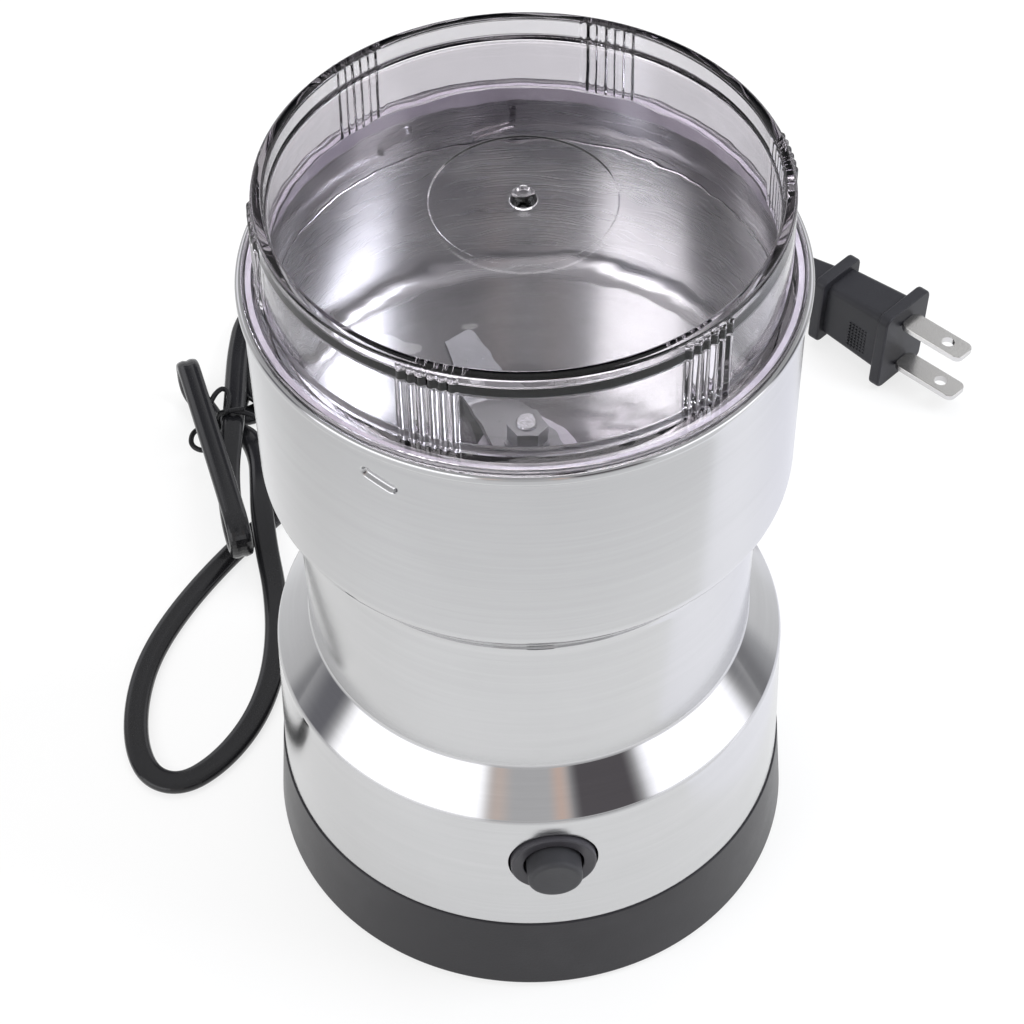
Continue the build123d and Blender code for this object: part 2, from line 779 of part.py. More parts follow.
with BuildPart() as carbon_brushes:
    for azimuth in (0, 180):
        with BuildSketch(compass(azimuth, brush_start, brush_z)):
            Rectangle(brush_width, brush_height)
        extrude(amount=brush_length)
finish(carbon_brushes, "carbon_brushes")

# ---- Blade: two bent wings, with hub, washer and nut on the spindle
blade_plane = Plane.XY.offset(blade_z).rotated((0, 0, blade_azimuth - 90))
blade_side = Plane(origin=(0, 0, blade_z), x_dir=blade_plane.x_dir, z_dir=-blade_plane.y_dir)
half_blade = blade_length / 2
half_flat = blade_flat_length / 2
with BuildPart() as blade:
    with BuildSketch(blade_side) as blade_profile:
        with BuildLine():
            Polyline(
                (-half_blade, blade_tip_rise),
                (-half_flat, 0),
                (half_flat, 0),
                (half_blade, blade_tip_rise),
                (half_blade, blade_tip_rise + blade_thickness),
                (half_flat, blade_thickness),
                (-half_flat, blade_thickness),
                (-half_blade, blade_tip_rise + blade_thickness),
                close=True,
            )
        make_face()
        round_corner(blade_profile, blade_corner, (half_flat, blade_thickness), (-half_flat, blade_thickness))
    extrude(amount=blade_root_width, both=True)
    with BuildSketch(blade_plane) as blade_plan:
        with BuildLine():
            Polyline(
                (-half_blade, blade_tip_width / 2 - blade_root_width / 2),
                (0, -blade_root_width / 2),
                (half_blade, -blade_tip_width / 2),
                (half_blade, blade_root_width / 2 - blade_tip_width / 2),
                (0, blade_root_width / 2),
                (-half_blade, blade_tip_width / 2),
                close=True,
            )
        make_face()
        round_corner(blade_plan, blade_tip_corner, (half_blade, -blade_tip_width / 2),
                     (-half_blade, blade_tip_width / 2))
        Circle(spindle_radius + slip_fit, mode=Mode.SUBTRACT)
    extrude(amount=blade_tip_rise + 2 * blade_thickness, mode=Mode.INTERSECT)
finish(blade, "blade")

with BuildPart() as blade_hub:
    with BuildSketch(Plane.XY.offset(hub_z)):
        Circle(hub_radius)
        Circle(shaft_radius + slip_fit, mode=Mode.SUBTRACT)
    extrude(amount=hub_height)
finish(blade_hub, "blade_hub")

with BuildPart() as blade_washer:
    with BuildSketch(Plane.XY.offset(washer_z)):
        Circle(washer_radius)
        Circle(spindle_radius + slip_fit, mode=Mode.SUBTRACT)
    extrude(amount=washer_height)
finish(blade_washer, "blade_washer")

with BuildPart() as blade_nut:
    with BuildSketch(Plane.XY.offset(blade_nut_z)):
        RegularPolygon(blade_nut_across_flats / 2, 6, major_radius=False)
        Circle(spindle_radius + slip_fit, mode=Mode.SUBTRACT)
    extrude(amount=blade_nut_height)
finish(blade_nut, "blade_nut")

# ---- Lid: recessed plate, skirt with grip ribs, flange, and a lower skirt with lock ramps and stops
lid_seat_z = rim_z + lid_seat_gap
flange_top_z = lid_seat_z + flange_thickness
plate_face_z = lid_top_z - lid_recess
plate_under_z = plate_face_z - lid_plate
skirt_foot_z = lid_seat_z - plug_skirt_depth
ramp_top_z = lug_z - lug_width / (2 * cos(radians(lug_slope))) - ramp_gap
with BuildPart() as lid_ramp:
    with BuildSketch(Plane.XZ):
        with Locations((plug_skirt_radius - ramp_gap, skirt_foot_z)):
            Rectangle(
                ramp_radius - plug_skirt_radius + ramp_gap,
                lug_z - skirt_foot_z,
                align=(Align.MIN, Align.MIN),
            )
    revolve(axis=Axis.Z, revolution_arc=ramp_arc)
    lead = radians(ramp_lead_arc)
    slope = radians(lug_slope)
    ramp_plane = Plane(
        origin=(ramp_radius * cos(lead), ramp_radius * sin(lead), ramp_top_z),
        x_dir=(-sin(lead) * cos(slope), cos(lead) * cos(slope), -sin(slope)),
        z_dir=(-sin(lead) * sin(slope), cos(lead) * sin(slope), cos(slope)),
    )
    split(bisect_by=ramp_plane, keep=Keep.BOTTOM)
    split(bisect_by=ramp_plane.offset(-ramp_thickness), keep=Keep.TOP)
    with BuildSketch(Plane.XZ):
        with Locations((plug_skirt_radius - ramp_gap, ramp_top_z)):
            Rectangle(
                ramp_radius - plug_skirt_radius + ramp_gap,
                stop_rise,
                align=(Align.MIN, Align.MIN),
            )
    revolve(axis=Axis.Z, revolution_arc=stop_arc)

with BuildPart() as lid:
    with BuildSketch(Plane.XZ) as lid_profile:
        with BuildLine():
            Polyline(
                (0, plate_face_z),
                (skirt_top_radius - lid_wall, plate_face_z),
                (skirt_top_radius - lid_wall, lid_top_z),
                (skirt_top_radius, lid_top_z),
                (skirt_bottom_radius, flange_top_z),
                (flange_radius, flange_top_z),
                (flange_radius, lid_seat_z),
                (plug_skirt_radius, lid_seat_z),
                (plug_skirt_radius, skirt_foot_z),
                (plug_skirt_radius - plug_skirt_wall, skirt_foot_z),
                (plug_skirt_radius - plug_skirt_wall, flange_top_z),
                (skirt_bottom_radius - lid_wall, flange_top_z + flange_thickness),
                (skirt_top_radius - lid_wall, plate_under_z),
                (0, plate_under_z),
                close=True,
            )
        make_face()
        round_corner(
            lid_profile,
            lid_edge_radius,
            (skirt_top_radius - lid_wall, lid_top_z),
            (skirt_top_radius, lid_top_z),
            (skirt_top_radius - lid_wall, plate_face_z),
        )
        round_corner(lid_profile, flange_thickness / 3, (flange_radius, flange_top_z), (flange_radius, lid_seat_z))
    revolve(axis=Axis.Z)
    with BuildSketch(Plane.XY.offset(plate_under_z)):
        Circle(disc_radius)
    extrude(amount=-disc_step)
    with Locations((0, 0, plate_face_z)):
        Cone(pip_radius, pip_radius - pip_height, pip_height, align=(Align.CENTER, Align.CENTER, Align.MIN))
    with Locations((0, 0, plate_face_z + pip_height)):
        Cylinder(nub_radius, nub_height, align=(Align.CENTER, Align.CENTER, Align.MIN))
    with PolarLocations(0, lug_count, start_angle=lug_azimuth - 90 - lid_turn_angle - ramp_lead_arc):
        add(lid_ramp.part)
    for group in range(rib_group_count):
        for rib in range(ribs_per_group):
            azimuth = (
                rib_group_azimuth
                + group * 360 / rib_group_count
                + (rib - (ribs_per_group - 1) / 2) * rib_pitch_angle
            )
            with BuildSketch(Plane.XY.offset(flange_top_z - lid_edge_radius)):
                with around(skirt_top_radius - rib_sink, 1, azimuth):
                    Circle(rib_radius + skirt_bottom_radius - skirt_top_radius)
            extrude(amount=lid_top_z - rib_below_rim - flange_top_z + lid_edge_radius)
finish(lid, "lid")

# ---- Soft ring on the lid's lower skirt, just inside the bead
with BuildPart() as lid_seal:
    with BuildSketch(Plane.XY.offset(rim_z - seal_below_rim - seal_height)):
        Circle(cup_inner_radius - seal_gap)
        Circle(plug_skirt_radius + seal_gap, mode=Mode.SUBTRACT)
    extrude(amount=seal_height)
finish(lid_seal, "lid_seal")

# ---- Button: cap with a collar behind the bezel and a stem to the switch
bezel_face = wall_inner_at_button - bezel_recess + steel_wall
collar_front = bezel_face - holder_thickness
cap_front = wall_radius_at_button + button_proud
switch_front = collar_front - collar_room
collar_back = collar_front - running_gap - button_collar_thickness
with BuildPart() as button_cap:
    with BuildSketch(compass(button_azimuth, collar_front - running_gap, button_z)):
        Circle(button_radius)
    extrude(amount=cap_front - collar_front + running_gap)
    with BuildSketch(compass(button_azimuth, collar_back, button_z)):
        Circle(button_collar_radius)
    extrude(amount=button_collar_thickness)
    with BuildSketch(compass(button_azimuth, switch_front + button_travel / 2, button_z)):
        Circle(stem_radius)
    extrude(amount=collar_back - switch_front - button_travel / 2)
    fillet(
        button_cap.faces().sort_by_distance(compass(button_azimuth, cap_front, button_z).origin)[0].edges(),
        button_corner,
    )
finish(button_cap, "button_cap")

# ---- Holder: upright on the base's shelf, with the bezel that shows in the housing's hole
bezel_radius = button_hole_radius - part_gap
arm_height = button_collar_radius + part_gap + moulded_wall / 2
with BuildPart() as switch_holder:
    with BuildSketch(compass(button_azimuth, collar_front, base_top_z)):
        with Locations((0, (button_z + holder_rise - base_top_z) / 2)):
            RectangleRounded(holder_plate_width, button_z + holder_rise - base_top_z, moulded_wall)
    extrude(amount=holder_thickness - 2 * part_gap - bezel_recess)
    with BuildSketch(compass(button_azimuth, collar_front, button_z)):
        Circle(bezel_radius)
    extrude(amount=holder_thickness)
    with BuildSketch(compass(button_azimuth, switch_front, button_z)):
        with Locations((0, arm_height), (0, -arm_height)):
            Rectangle(switch_width, moulded_wall)
    extrude(amount=collar_room)
    with BuildSketch(compass(button_azimuth, collar_front, button_z)):
        Circle(button_radius + button_bore_gap)
    extrude(amount=holder_thickness, mode=Mode.SUBTRACT)
finish(switch_holder, "switch_holder")

# ---- Switch and its terminals
with BuildPart() as switch_body:
    with BuildSketch(compass(button_azimuth, switch_front - switch_length, button_z)):
        Rectangle(switch_width, 2 * arm_height + moulded_wall)
    extrude(amount=switch_length)
    with BuildSketch(compass(button_azimuth, switch_front - 2 * button_travel, button_z)):
        Circle(stem_radius + part_gap)
    extrude(amount=2 * button_travel, mode=Mode.SUBTRACT)
finish(switch_body, "switch_body")

with BuildPart() as switch_terminals:
    with BuildSketch(compass(button_azimuth, switch_front - switch_length - terminal_length, button_z)):
        with Locations((0, terminal_spacing / 2), (0, -terminal_spacing / 2)):
            Rectangle(terminal_width, terminal_thickness)
    extrude(amount=terminal_length)
finish(switch_terminals, "switch_terminals")

# ---- Grommet in the base's wall, strain relief outside it, clamp and cord end inside
with BuildPart() as cord_grommet:
    with BuildSketch(compass(180, base_radius_at_exit + running_gap, exit_z)):
        Circle(grommet_flange_radius)
    extrude(amount=grommet_flange)
    with BuildSketch(compass(180, base_inner_bottom - grommet_inner_reach, exit_z)):
        Circle(grommet_radius)
    extrude(amount=base_radius_at_exit + running_gap - base_inner_bottom + grommet_inner_reach)
finish(cord_grommet, "cord_grommet")

with BuildPart() as strain_relief:
    with BuildSketch(compass(180, relief_start, exit_z)):
        Circle(relief_root_radius)
    with BuildSketch(compass(180, relief_start + relief_length, exit_z)):
        Circle(relief_tip_radius)
    loft()
finish(strain_relief, "strain_relief")

with BuildPart() as inner_cord:
    with BuildSketch(compass(180, inner_cord_start, exit_z)):
        Circle(cord_radius)
    extrude(amount=inner_cord_length)
finish(inner_cord, "inner_cord")

with BuildPart() as cord_clamp:
    with BuildSketch(compass(180, clamp_y - clamp_length / 2)):
        with Locations((0, clamp_bottom_z)):
            Rectangle(clamp_width, shelf_z - clamp_bottom_z, align=(Align.CENTER, Align.MIN))
        with Locations((0, exit_z)):
            Circle(cord_radius + slip_fit, mode=Mode.SUBTRACT)
    extrude(amount=clamp_length)
    with Locations((clamp_screw_spacing / 2, clamp_y, clamp_bottom_z), (-clamp_screw_spacing / 2, clamp_y, clamp_bottom_z)):
        Cylinder(
            screw_head_radius + part_gap,
            screw_head_height,
            align=(Align.CENTER, Align.CENTER, Align.MIN),
            mode=Mode.SUBTRACT,
        )
        Cylinder(
            screw_hole_radius,
            shelf_z - clamp_bottom_z,
            align=(Align.CENTER, Align.CENTER, Align.MIN),
            mode=Mode.SUBTRACT,
        )
finish(cord_clamp, "cord_clamp")

with BuildPart() as clamp_screws:
    with Locations((clamp_screw_spacing / 2, clamp_y, clamp_bottom_z), (-clamp_screw_spacing / 2, clamp_y, clamp_bottom_z)):
        Cylinder(screw_head_radius, screw_head_height, align=(Align.CENTER, Align.CENTER, Align.MIN))
        Cylinder(
            thread_radius,
            shelf_z - clamp_bottom_z + clamp_screw_bite,
            align=(Align.CENTER, Align.CENTER, Align.MIN),
        )
finish(clamp_screws, "clamp_screws")


# ---- Cord: the lead with its big loop and the hairpin of the hank, the coil, and the tail to the plug
def lie(name, *points):
    """A round tube along straight runs and tangent arcs, each arc as large as its runs allow."""
    places = [Vector(*point) for point in points]
    radii = []
    for before, corner, after in zip(places, places[1:], places[2:]):
        arriving = corner - before
        leaving = after - corner
        half_turn = radians(arriving.get_angle(leaving)) / 2
        radii.append(0.45 * min(arriving.length, leaving.length) / tan(half_turn))
    with BuildPart() as tube:
        with BuildLine():
            path = FilletPolyline(*places, radius=radii)
        with BuildSketch(Plane(origin=places[0], z_dir=places[1] - places[0])):
            Circle(cord_radius)
        sweep()
    section = pi * cord_radius**2
    print(name, "radii", [round(radius, 1) for radius in radii])
    print(name, "length", round(path.length, 1), "volume ratio", round(tube.part.volume / section / path.length, 4))
    return tube


cord_lead = lie(
    "cord_lead",
    (0, relief_start + relief_length, exit_z),
    (0, 84, exit_z),
    (-3.5, 94, 8),
    (-12, 102, 5.5),
    (-24, 105, 3.4),
    (-37, 101.5, cord_low_z),
    (-48, 91, cord_low_z),
    (-57.5, 75.6, cord_low_z),
    (-68, 61.8, cord_low_z),
    (-78.9, 48.2, cord_low_z),
    (-84.6, 35, cord_low_z),
    (-87, 21.5, cord_low_z),
    (-86.3, 7.7, cord_low_z),
    (-82.85, 0.7, cord_low_z),
    (-76.2, -3.45, cord_low_z),
    (-68.4, -3.45, cord_low_z),
    (-61.75, 0.7, cord_low_z),
    (-58.3, 7.7, cord_low_z),
    (-56.6, 21, cord_low_z),
    (-57, 36, cord_low_z),
    (-59.6, 56, cord_low_z),
    (-61, 68.5, 8.7),
    (-61.6, 77, 8.7),
    (-62.9, 86, 5.6),
    (-66.6, 98, 4.9),
    (-71, 104.3, 3.3),
    (-80.9, 111.5, cord_low_z),
    (-80.9, 111.5, 14.2),
    (-76.2, 97.5, 15.2),
    (-71.2, 80, 16.5),
    (-67, 66, 17.9),
    (-63.9, 55.2, 18.9),
    (-63.9, 55.2, 8.7),
    (-67.2, 70, 8.7),
    (-69.5, 84, 9.2),
    (-69.8, 98, 10.5),
    (-70.1, 110, 8.6),
    (-70.2, 121, 6.5),
    (-65.5, 131, 5.6),
)
finish(cord_lead, "cord_lead")

with BuildPart() as cord_coil:
    with BuildSketch(Plane.XY.offset(cord_floor_gap)):
        with Locations((coil_x - coil_spread / 2, coil_y), (coil_x + coil_spread / 2, coil_y)):
            Circle(coil_end_radius)
        with Locations((coil_nose_x, coil_nose_y)):
            Circle(coil_nose_radius)
        make_hull()
    extrude(amount=coil_thickness)
    fillet(cord_coil.faces().sort_by(Axis.Z)[-1].edges(), coil_thickness / 3)
finish(cord_coil, "cord_coil")

tie_low = Vector(-66.6, 98, 4.9)
tie_high = Vector(-69.8, 98, 10.5)
tie_middle = (tie_low + tie_high) / 2
tie_span = tie_high - tie_low
with BuildPart() as twist_tie:
    with BuildSketch(Plane(origin=tie_middle, x_dir=tie_span, z_dir=(0, 1, 0))):
        SlotCenterToCenter(tie_span.length, cord_width + tie_slack + 2 * tie_band)
        SlotCenterToCenter(tie_span.length, cord_width + tie_slack, mode=Mode.SUBTRACT)
    extrude(amount=tie_band_width / 2, both=True)
finish(twist_tie, "twist_tie")

# ---- Plug: two flanges, a block between them, a boot behind, and two flat blades
plug_way = compass(plug_azimuth)
plug_plane = Plane(
    origin=(plug_x, plug_y, plug_z),
    x_dir=plug_way.x_dir * cos(radians(plug_lean)) - plug_way.y_dir * sin(radians(plug_lean)),
    z_dir=plug_way.z_dir,
)
rear_face = -plug_flange_thickness - plug_body_length
boot_face = rear_face - plug_flange_thickness
with BuildPart() as plug_body:
    with BuildSketch(plug_plane.offset(-plug_flange_thickness)):
        RectangleRounded(plug_flange_width, plug_flange_height, plug_flange_corner)
    extrude(amount=plug_flange_thickness)
    with BuildSketch(plug_plane.offset(boot_face)):
        RectangleRounded(
            rear_flange_share * plug_flange_width,
            rear_flange_share * plug_flange_height,
            rear_flange_share * plug_flange_corner,
        )
    extrude(amount=plug_flange_thickness)
    with BuildSketch(plug_plane.offset(rear_face)):
        RectangleRounded(plug_body_width, plug_body_height, plug_body_corner)
    extrude(amount=plug_body_length)
    with BuildSketch(plug_plane.offset(boot_face)):
        RectangleRounded(boot_width, boot_height, plug_body_corner)
    with BuildSketch(plug_plane.offset(boot_face - boot_length)):
        RectangleRounded(boot_taper * boot_width, boot_taper * boot_height, boot_taper * plug_body_corner)
    loft()
finish(plug_body, "plug_body")

with BuildPart() as plug_blades:
    for side in (1, -1):
        with BuildSketch(plug_plane):
            with Locations((0, side * blade_spacing / 2)):
                Rectangle(pin_width, pin_thickness)
        extrude(amount=pin_length)
    tip_edges = plug_blades.edges().filter_by(Axis(plug_plane.origin, plug_plane.y_dir))
    fillet(tip_edges.group_by(Axis(plug_plane.origin, plug_plane.z_dir))[-1], pin_corner)
    with BuildSketch(Plane(origin=plug_plane.origin, x_dir=plug_plane.z_dir, z_dir=plug_plane.y_dir)):
        with Locations((pin_hole_reach, 0)):
            Circle(pin_hole_radius)
    extrude(amount=blade_spacing, both=True, mode=Mode.SUBTRACT)
finish(plug_blades, "plug_blades")

tail_end = plug_plane.offset(boot_face - boot_length).origin
tail_straight = 9.7
cord_tail = lie(
    "cord_tail",
    (5, 141, 5.6),
    (16, 146, 4.6),
    (27, 153, 3.2),
    (39, 157.5, 4),
    (51, 155.5, 7.4),
    tail_end - plug_plane.z_dir * tail_straight,
    tail_end,
)
finish(cord_tail, "cord_tail")
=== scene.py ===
"""Electric spice grinder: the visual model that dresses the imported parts."""

from math import atan2, cos, degrees, pi, radians, sin, sqrt, tan

import bmesh
import bpy
from mathutils import Matrix, Vector


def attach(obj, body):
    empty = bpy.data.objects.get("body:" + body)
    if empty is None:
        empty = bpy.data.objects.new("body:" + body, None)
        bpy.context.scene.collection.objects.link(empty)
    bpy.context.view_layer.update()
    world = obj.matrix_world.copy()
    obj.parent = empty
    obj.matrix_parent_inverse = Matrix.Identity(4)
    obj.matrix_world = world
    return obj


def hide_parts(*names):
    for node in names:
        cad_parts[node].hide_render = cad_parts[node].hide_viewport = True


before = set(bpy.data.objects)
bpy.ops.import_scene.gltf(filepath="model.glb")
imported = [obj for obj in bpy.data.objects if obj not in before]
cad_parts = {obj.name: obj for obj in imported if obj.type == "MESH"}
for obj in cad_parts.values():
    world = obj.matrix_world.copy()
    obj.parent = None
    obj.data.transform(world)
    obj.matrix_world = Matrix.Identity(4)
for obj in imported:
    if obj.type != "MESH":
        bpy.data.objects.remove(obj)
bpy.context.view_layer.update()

bl_info = {
    "name": "Spice grinder",
    "version": (1, 0, 0),
    "blender": (4, 2, 0),
    "location": "3D View > Sidebar > Grinder",
    "description": "Dresses the packed spice grinder in fine meshes and procedural finishes",
    "category": "Object",
}

MM = 0.001

# ---- Heights, in millimetres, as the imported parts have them
FOOT_STAND = 1.0
BASE_TOP = 20.5
SHOULDER_LOW = 53.4
SHOULDER_HIGH = 62.1
FLARE_START = 95.5
CUP_FOOT = 102.7
CUP_FLOOR = 103.4
RIM = 149.9
LID_SEAT = 150.0
FLANGE_TOP = 151.0
LID_TOP = 168.6
PLATE_FACE = 165.0
PLATE_UNDER = 163.2
DISC_FACE = 164.7
SKIRT_FOOT = 138.0

# ---- Radii and walls, in millimetres
WALL_BOTTOM = 51.3
WALL_TOP = 50.3
WAIST = 43.4
FLARE = 46.6
STEEL = 0.7
LIP_INNER = 36.0
SPIGOT = 50.3
SHELF_INNER = 33.0
PLASTIC = 2.4
CUP_HOLE = 7.0
PLUG_SKIRT = 46.9
PLUG_SKIRT_INNER = 45.1
LID_WALL = 2.2
DISC_RADIUS = 16.0

# ---- Screw bosses under the base's shelf, and the lead's exit
BOSS_AZIMUTHS = (0, 120, 240)
BOSS_CIRCLE = 43.5
BOSS_RADIUS = 3.6
BOSS_BORE = 1.55
EXIT_HEIGHT = 9.5
EXIT_RADIUS = 5.22
EXIT_START = 46.0

# ---- Twist lock and grip ribs
LUG_AZIMUTHS = (-29.8, 90.2, 210.2)
LUG_HEIGHT = 141.9
LUG_LENGTH = 7.0
LUG_WIDTH = 2.4
LUG_SLOPE = 17.0
LUG_DENT = 0.9
LUG_REACH = 1.3
LUG_FIELD = (5.6, 4.4)
LOCK_TURN = 22
RAMP_LEAD = 6.5
RAMP_ARC = 10
RAMP_HEIGHT = 139.6
RAMP_RADIUS = 48.0
RAMP_MIDDLE = 47.5
RAMP_HALF = 0.7
STOP_LOW = 141.8
STOP_HIGH = 144.9
STOP_ARC = 1.6
RIB_GROUPS = 6
RIB_START = -20.0
RIB_PITCH = 2.2
RIBS_A_GROUP = 6
RIB_RADIUS = 0.9
RIB_CENTRE = 45.65
RIB_TOP = 167.9

# ---- Button
BUTTON_AZIMUTH = 4.7
BUTTON_HEIGHT = 40.9
BEZEL_FACE = 51.4
CAP_FRONT = 55.0
HOLE_RADIUS = 8.7
HOLE_START = 44.0
COLLAR_FRONT = 46.1
COLLAR_RADIUS = 6.4
COLLAR_DEPTH = 1.2
STEM_RADIUS = 0.9
STEM_BACK = 43.1
BEZEL_BORE = 5.7
BEZEL_RADIUS = 8.25
LEG_SIZE = (3.5, 33.5, 1.0)
LEG_PLACE = (7.25, -2.75, COLLAR_FRONT + 0.5)
ARM_SIZE = (2.4, 13.0, 4.2)
ARM_PLACE = (7.8, 0, 44.0)

# ---- Flat twin lead
CORD_WIDTH = 5.4
CORD_THICKNESS = 2.8
TIE_RADIUS = 0.62

# ---- Plug: the middle of its front face, and the ways it faces
PLUG_PLACE = Vector((91.4, 118.2, 11.45))
PLUG_AXIS = Vector((0.72537, -0.68835, 0.0))
PLUG_UP = Vector((0.03603, 0.03796, 0.99863))
PLUG_SIDE = PLUG_UP.cross(PLUG_AXIS)
# Its two flanges, grip and boot: size, corner, rim, place of the middle along the axis, and taper to the back
PLUG_BLOCKS = (
    ((17.0, 22.2, 3.0), 2.2, 0.55, -1.5, 1.0),
    ((14.6, 19.1, 3.0), 1.9, 0.55, -21.5, 1.0),
    ((12.0, 17.2, 16.96), 1.8, 0.0, -11.5, 0.88),
    ((9.0, 13.0, 13.96), 1.6, 0.3, -30.0, 0.7),
)
DOT_SIZE = (0.5, 0.42, 0.42)
DOT_PITCH = 0.95
DOT_ROWS = 6
DOT_COLUMNS = 8
DOT_START = (5.72, -5.4, -0.6)
PIN_SIZE = (6.35, 17.5, 1.5)
PIN_OFFSET = 6.35
PIN_HOLE = 1.6

# ---- Meshes: the tolerance at which points are one, and the angle past which an edge stays sharp
MERGE = 0.0002
SHARP = 32.0
LID_SHARP = 28.0
CORD_SHARP = 50.0


# ---------------------------------------------------------------- finishes


class Wire:
    """A shader socket that can stand in a sum: each operator adds one Math node."""

    def __init__(self, finish, socket):
        self.finish = finish
        self.socket = socket

    def combine(self, operation, *values):
        return self.finish.node("ShaderNodeMath", {"operation": operation}, dict(enumerate(values)))

    def maths(self, operation, *others):
        """The operation on this value and the others, as in SQRT or MINIMUM."""
        return self.combine(operation, self, *others)

    def __add__(self, other):
        return self.maths("ADD", other)

    def __radd__(self, other):
        return self.combine("ADD", other, self)

    def __sub__(self, other):
        return self.maths("SUBTRACT", other)

    def __rsub__(self, other):
        return self.combine("SUBTRACT", other, self)

    def __mul__(self, other):
        return self.maths("MULTIPLY", other)

    def __rmul__(self, other):
        return self.combine("MULTIPLY", other, self)

    def __truediv__(self, other):
        return self.maths("DIVIDE", other)


class Finish:
    """One material, or the world, and the nodes that are added to it."""

    def __init__(self, name, owner=None):
        self.material = owner or bpy.data.materials.new(name)
        self.material.use_nodes = True
        self.tree = self.material.node_tree
        self.tree.nodes.clear()

    def node(self, kind, settings=None, sockets=None, out=0):
        """Adds a node: its settings first, then the values or links of its sockets."""
        made = self.tree.nodes.new(kind)
        for name, value in (settings or {}).items():
            setattr(made, name, value)
        for name, value in (sockets or {}).items():
            if isinstance(value, Wire):
                self.tree.links.new(value.socket, made.inputs[name])
            else:
                made.inputs[name].default_value = value
        return Wire(self, made.outputs[out]) if made.outputs else made

    def place(self):
        return self.node("ShaderNodeTexCoord", out="Object")

    def split(self, vector):
        parts = self.node("ShaderNodeSeparateXYZ", None, {0: vector}).socket.node
        return [Wire(self, socket) for socket in parts.outputs]

    def vector(self, x, y, z):
        return self.node("ShaderNodeCombineXYZ", None, {0: x, 1: y, 2: z})

    def noise(self, vector, scale, detail=3.0, roughness=0.5):
        sockets = {"Vector": vector, "Scale": scale, "Detail": detail, "Roughness": roughness}
        return self.node("ShaderNodeTexNoise", None, sockets)

    def step(self, value, low, high):
        """0 below low, 1 above high, smooth between."""
        return self.node(
            "ShaderNodeMapRange",
            {"interpolation_type": "SMOOTHSTEP"},
            {"Value": value, "From Min": low, "From Max": high},
        )

    def mix(self, factor, first, second):
        """A colour between two colours."""
        sockets = {0: factor, 6: rgba(first), 7: rgba(second)}
        return self.node("ShaderNodeMix", {"data_type": "RGBA"}, sockets, out=2)

    def bump(self, height, distance, strength=1.0):
        sockets = {"Strength": strength, "Distance": distance, "Height": height}
        return self.node("ShaderNodeBump", None, sockets)

    def surface(self, sockets):
        shader = self.node("ShaderNodeBsdfPrincipled", None, sockets)
        self.node("ShaderNodeOutputMaterial", None, {"Surface": shader})
        return self


def rgba(value):
    return value if isinstance(value, Wire) else (*tuple(value)[:3], 1)


def tint(colour, factor):
    return tuple(min(1.0, channel * factor) for channel in tuple(colour)[:3])


def spun_lines(finish, turns, fineness):
    """A vector that changes slowly round the axis and fast along the wall, as brushing does."""
    x, y, z = finish.split(finish.place())
    radius = (x * x + y * y).maths("SQRT")
    return finish.vector(x / radius * turns, y / radius * turns, (z + radius) * fineness), z, radius


def brushed_steel(name, colour, polished):
    """Spun sheet steel, brushed round its axis, duller inside and bright in the polished height bands."""
    finish = Finish(name)
    lines, z, radius = spun_lines(finish, 1.6, 5200.0)
    fine = finish.noise(lines, 1.0, 4.0, 0.62)
    broad_lines, _, _ = spun_lines(finish, 0.9, 620.0)
    broad = finish.noise(broad_lines, 1.0, 2.0, 0.5)
    clouds = finish.noise(finish.place(), 42.0, 3.0, 0.55)
    bright, blur = 0.0, 0.6 * MM
    for low, high in polished:
        above = finish.step(z, low * MM - blur, low * MM + blur)
        below = 1.0 - finish.step(z, high * MM - blur, high * MM + blur)
        bright = above * below + bright
    facing = finish.split(finish.node("ShaderNodeTexCoord", out="Normal"))
    spot = finish.split(finish.place())
    outer = finish.step((facing[0] * spot[0] + facing[1] * spot[1]) / radius, -0.1, 0.05)
    brushed = 1.0 - outer * bright
    rough = (0.10 + fine * 0.08 + clouds * 0.04) * (brushed * 0.72 + 0.28) + (1.0 - outer) * 0.12
    streak = (fine - 0.5) * 0.7 + (broad - 0.5) * 0.35 + (clouds - 0.5) * 0.5
    shade = finish.mix(streak + 0.5, tint(colour, 0.90), tint(colour, 1.08))
    return finish.surface(
        {
            "Base Color": shade,
            "Metallic": 1.0,
            "Roughness": rough,
            "Anisotropic": 0.55,
            "Anisotropic Rotation": 0.25,
            "Normal": finish.bump(fine * brushed, 0.000012, 0.3),
        }
    )


def worn_metal(name, colour, rough=0.3, grain=1800.0):
    """Plain bright metal with fine mottling, as plated screws and ground steel have."""
    finish = Finish(name)
    place = finish.place()
    fine = finish.noise(place, grain, 3.0, 0.6)
    clouds = finish.noise(place, grain / 14, 3.0, 0.5)
    shade = finish.mix(fine * 0.55 + clouds * 0.45, tint(colour, 0.8), tint(colour, 1.12))
    return finish.surface(
        {
            "Base Color": shade,
            "Metallic": 1.0,
            "Roughness": rough * 0.7 + (fine + clouds) * (rough * 0.3),
            "Normal": finish.bump(fine, 0.00004, 0.35),
        }
    )


def moulded(name, colour, rough=0.42, grain=2600.0, depth=0.00003, coat=0.0):
    """Moulded plastic: a faint spark-eroded grain, rubbed a little brighter in places."""
    finish = Finish(name)
    place = finish.place()
    fine = finish.noise(place, grain, 2.0, 0.5)
    clouds = finish.noise(place, 46.0, 4.0, 0.6)
    rubbed = finish.step(clouds, 0.45, 0.75)
    shade = finish.mix(rubbed * 0.6 + fine * 0.35, tint(colour, 0.86), tint(colour, 1.28))
    return finish.surface(
        {
            "Base Color": shade,
            "Roughness": rough - 0.06 + fine * 0.1 - rubbed * 0.05,
            "Coat Weight": coat,
            "Specular IOR Level": 0.3,
            "Normal": finish.bump(fine, depth, 0.6),
        }
    )


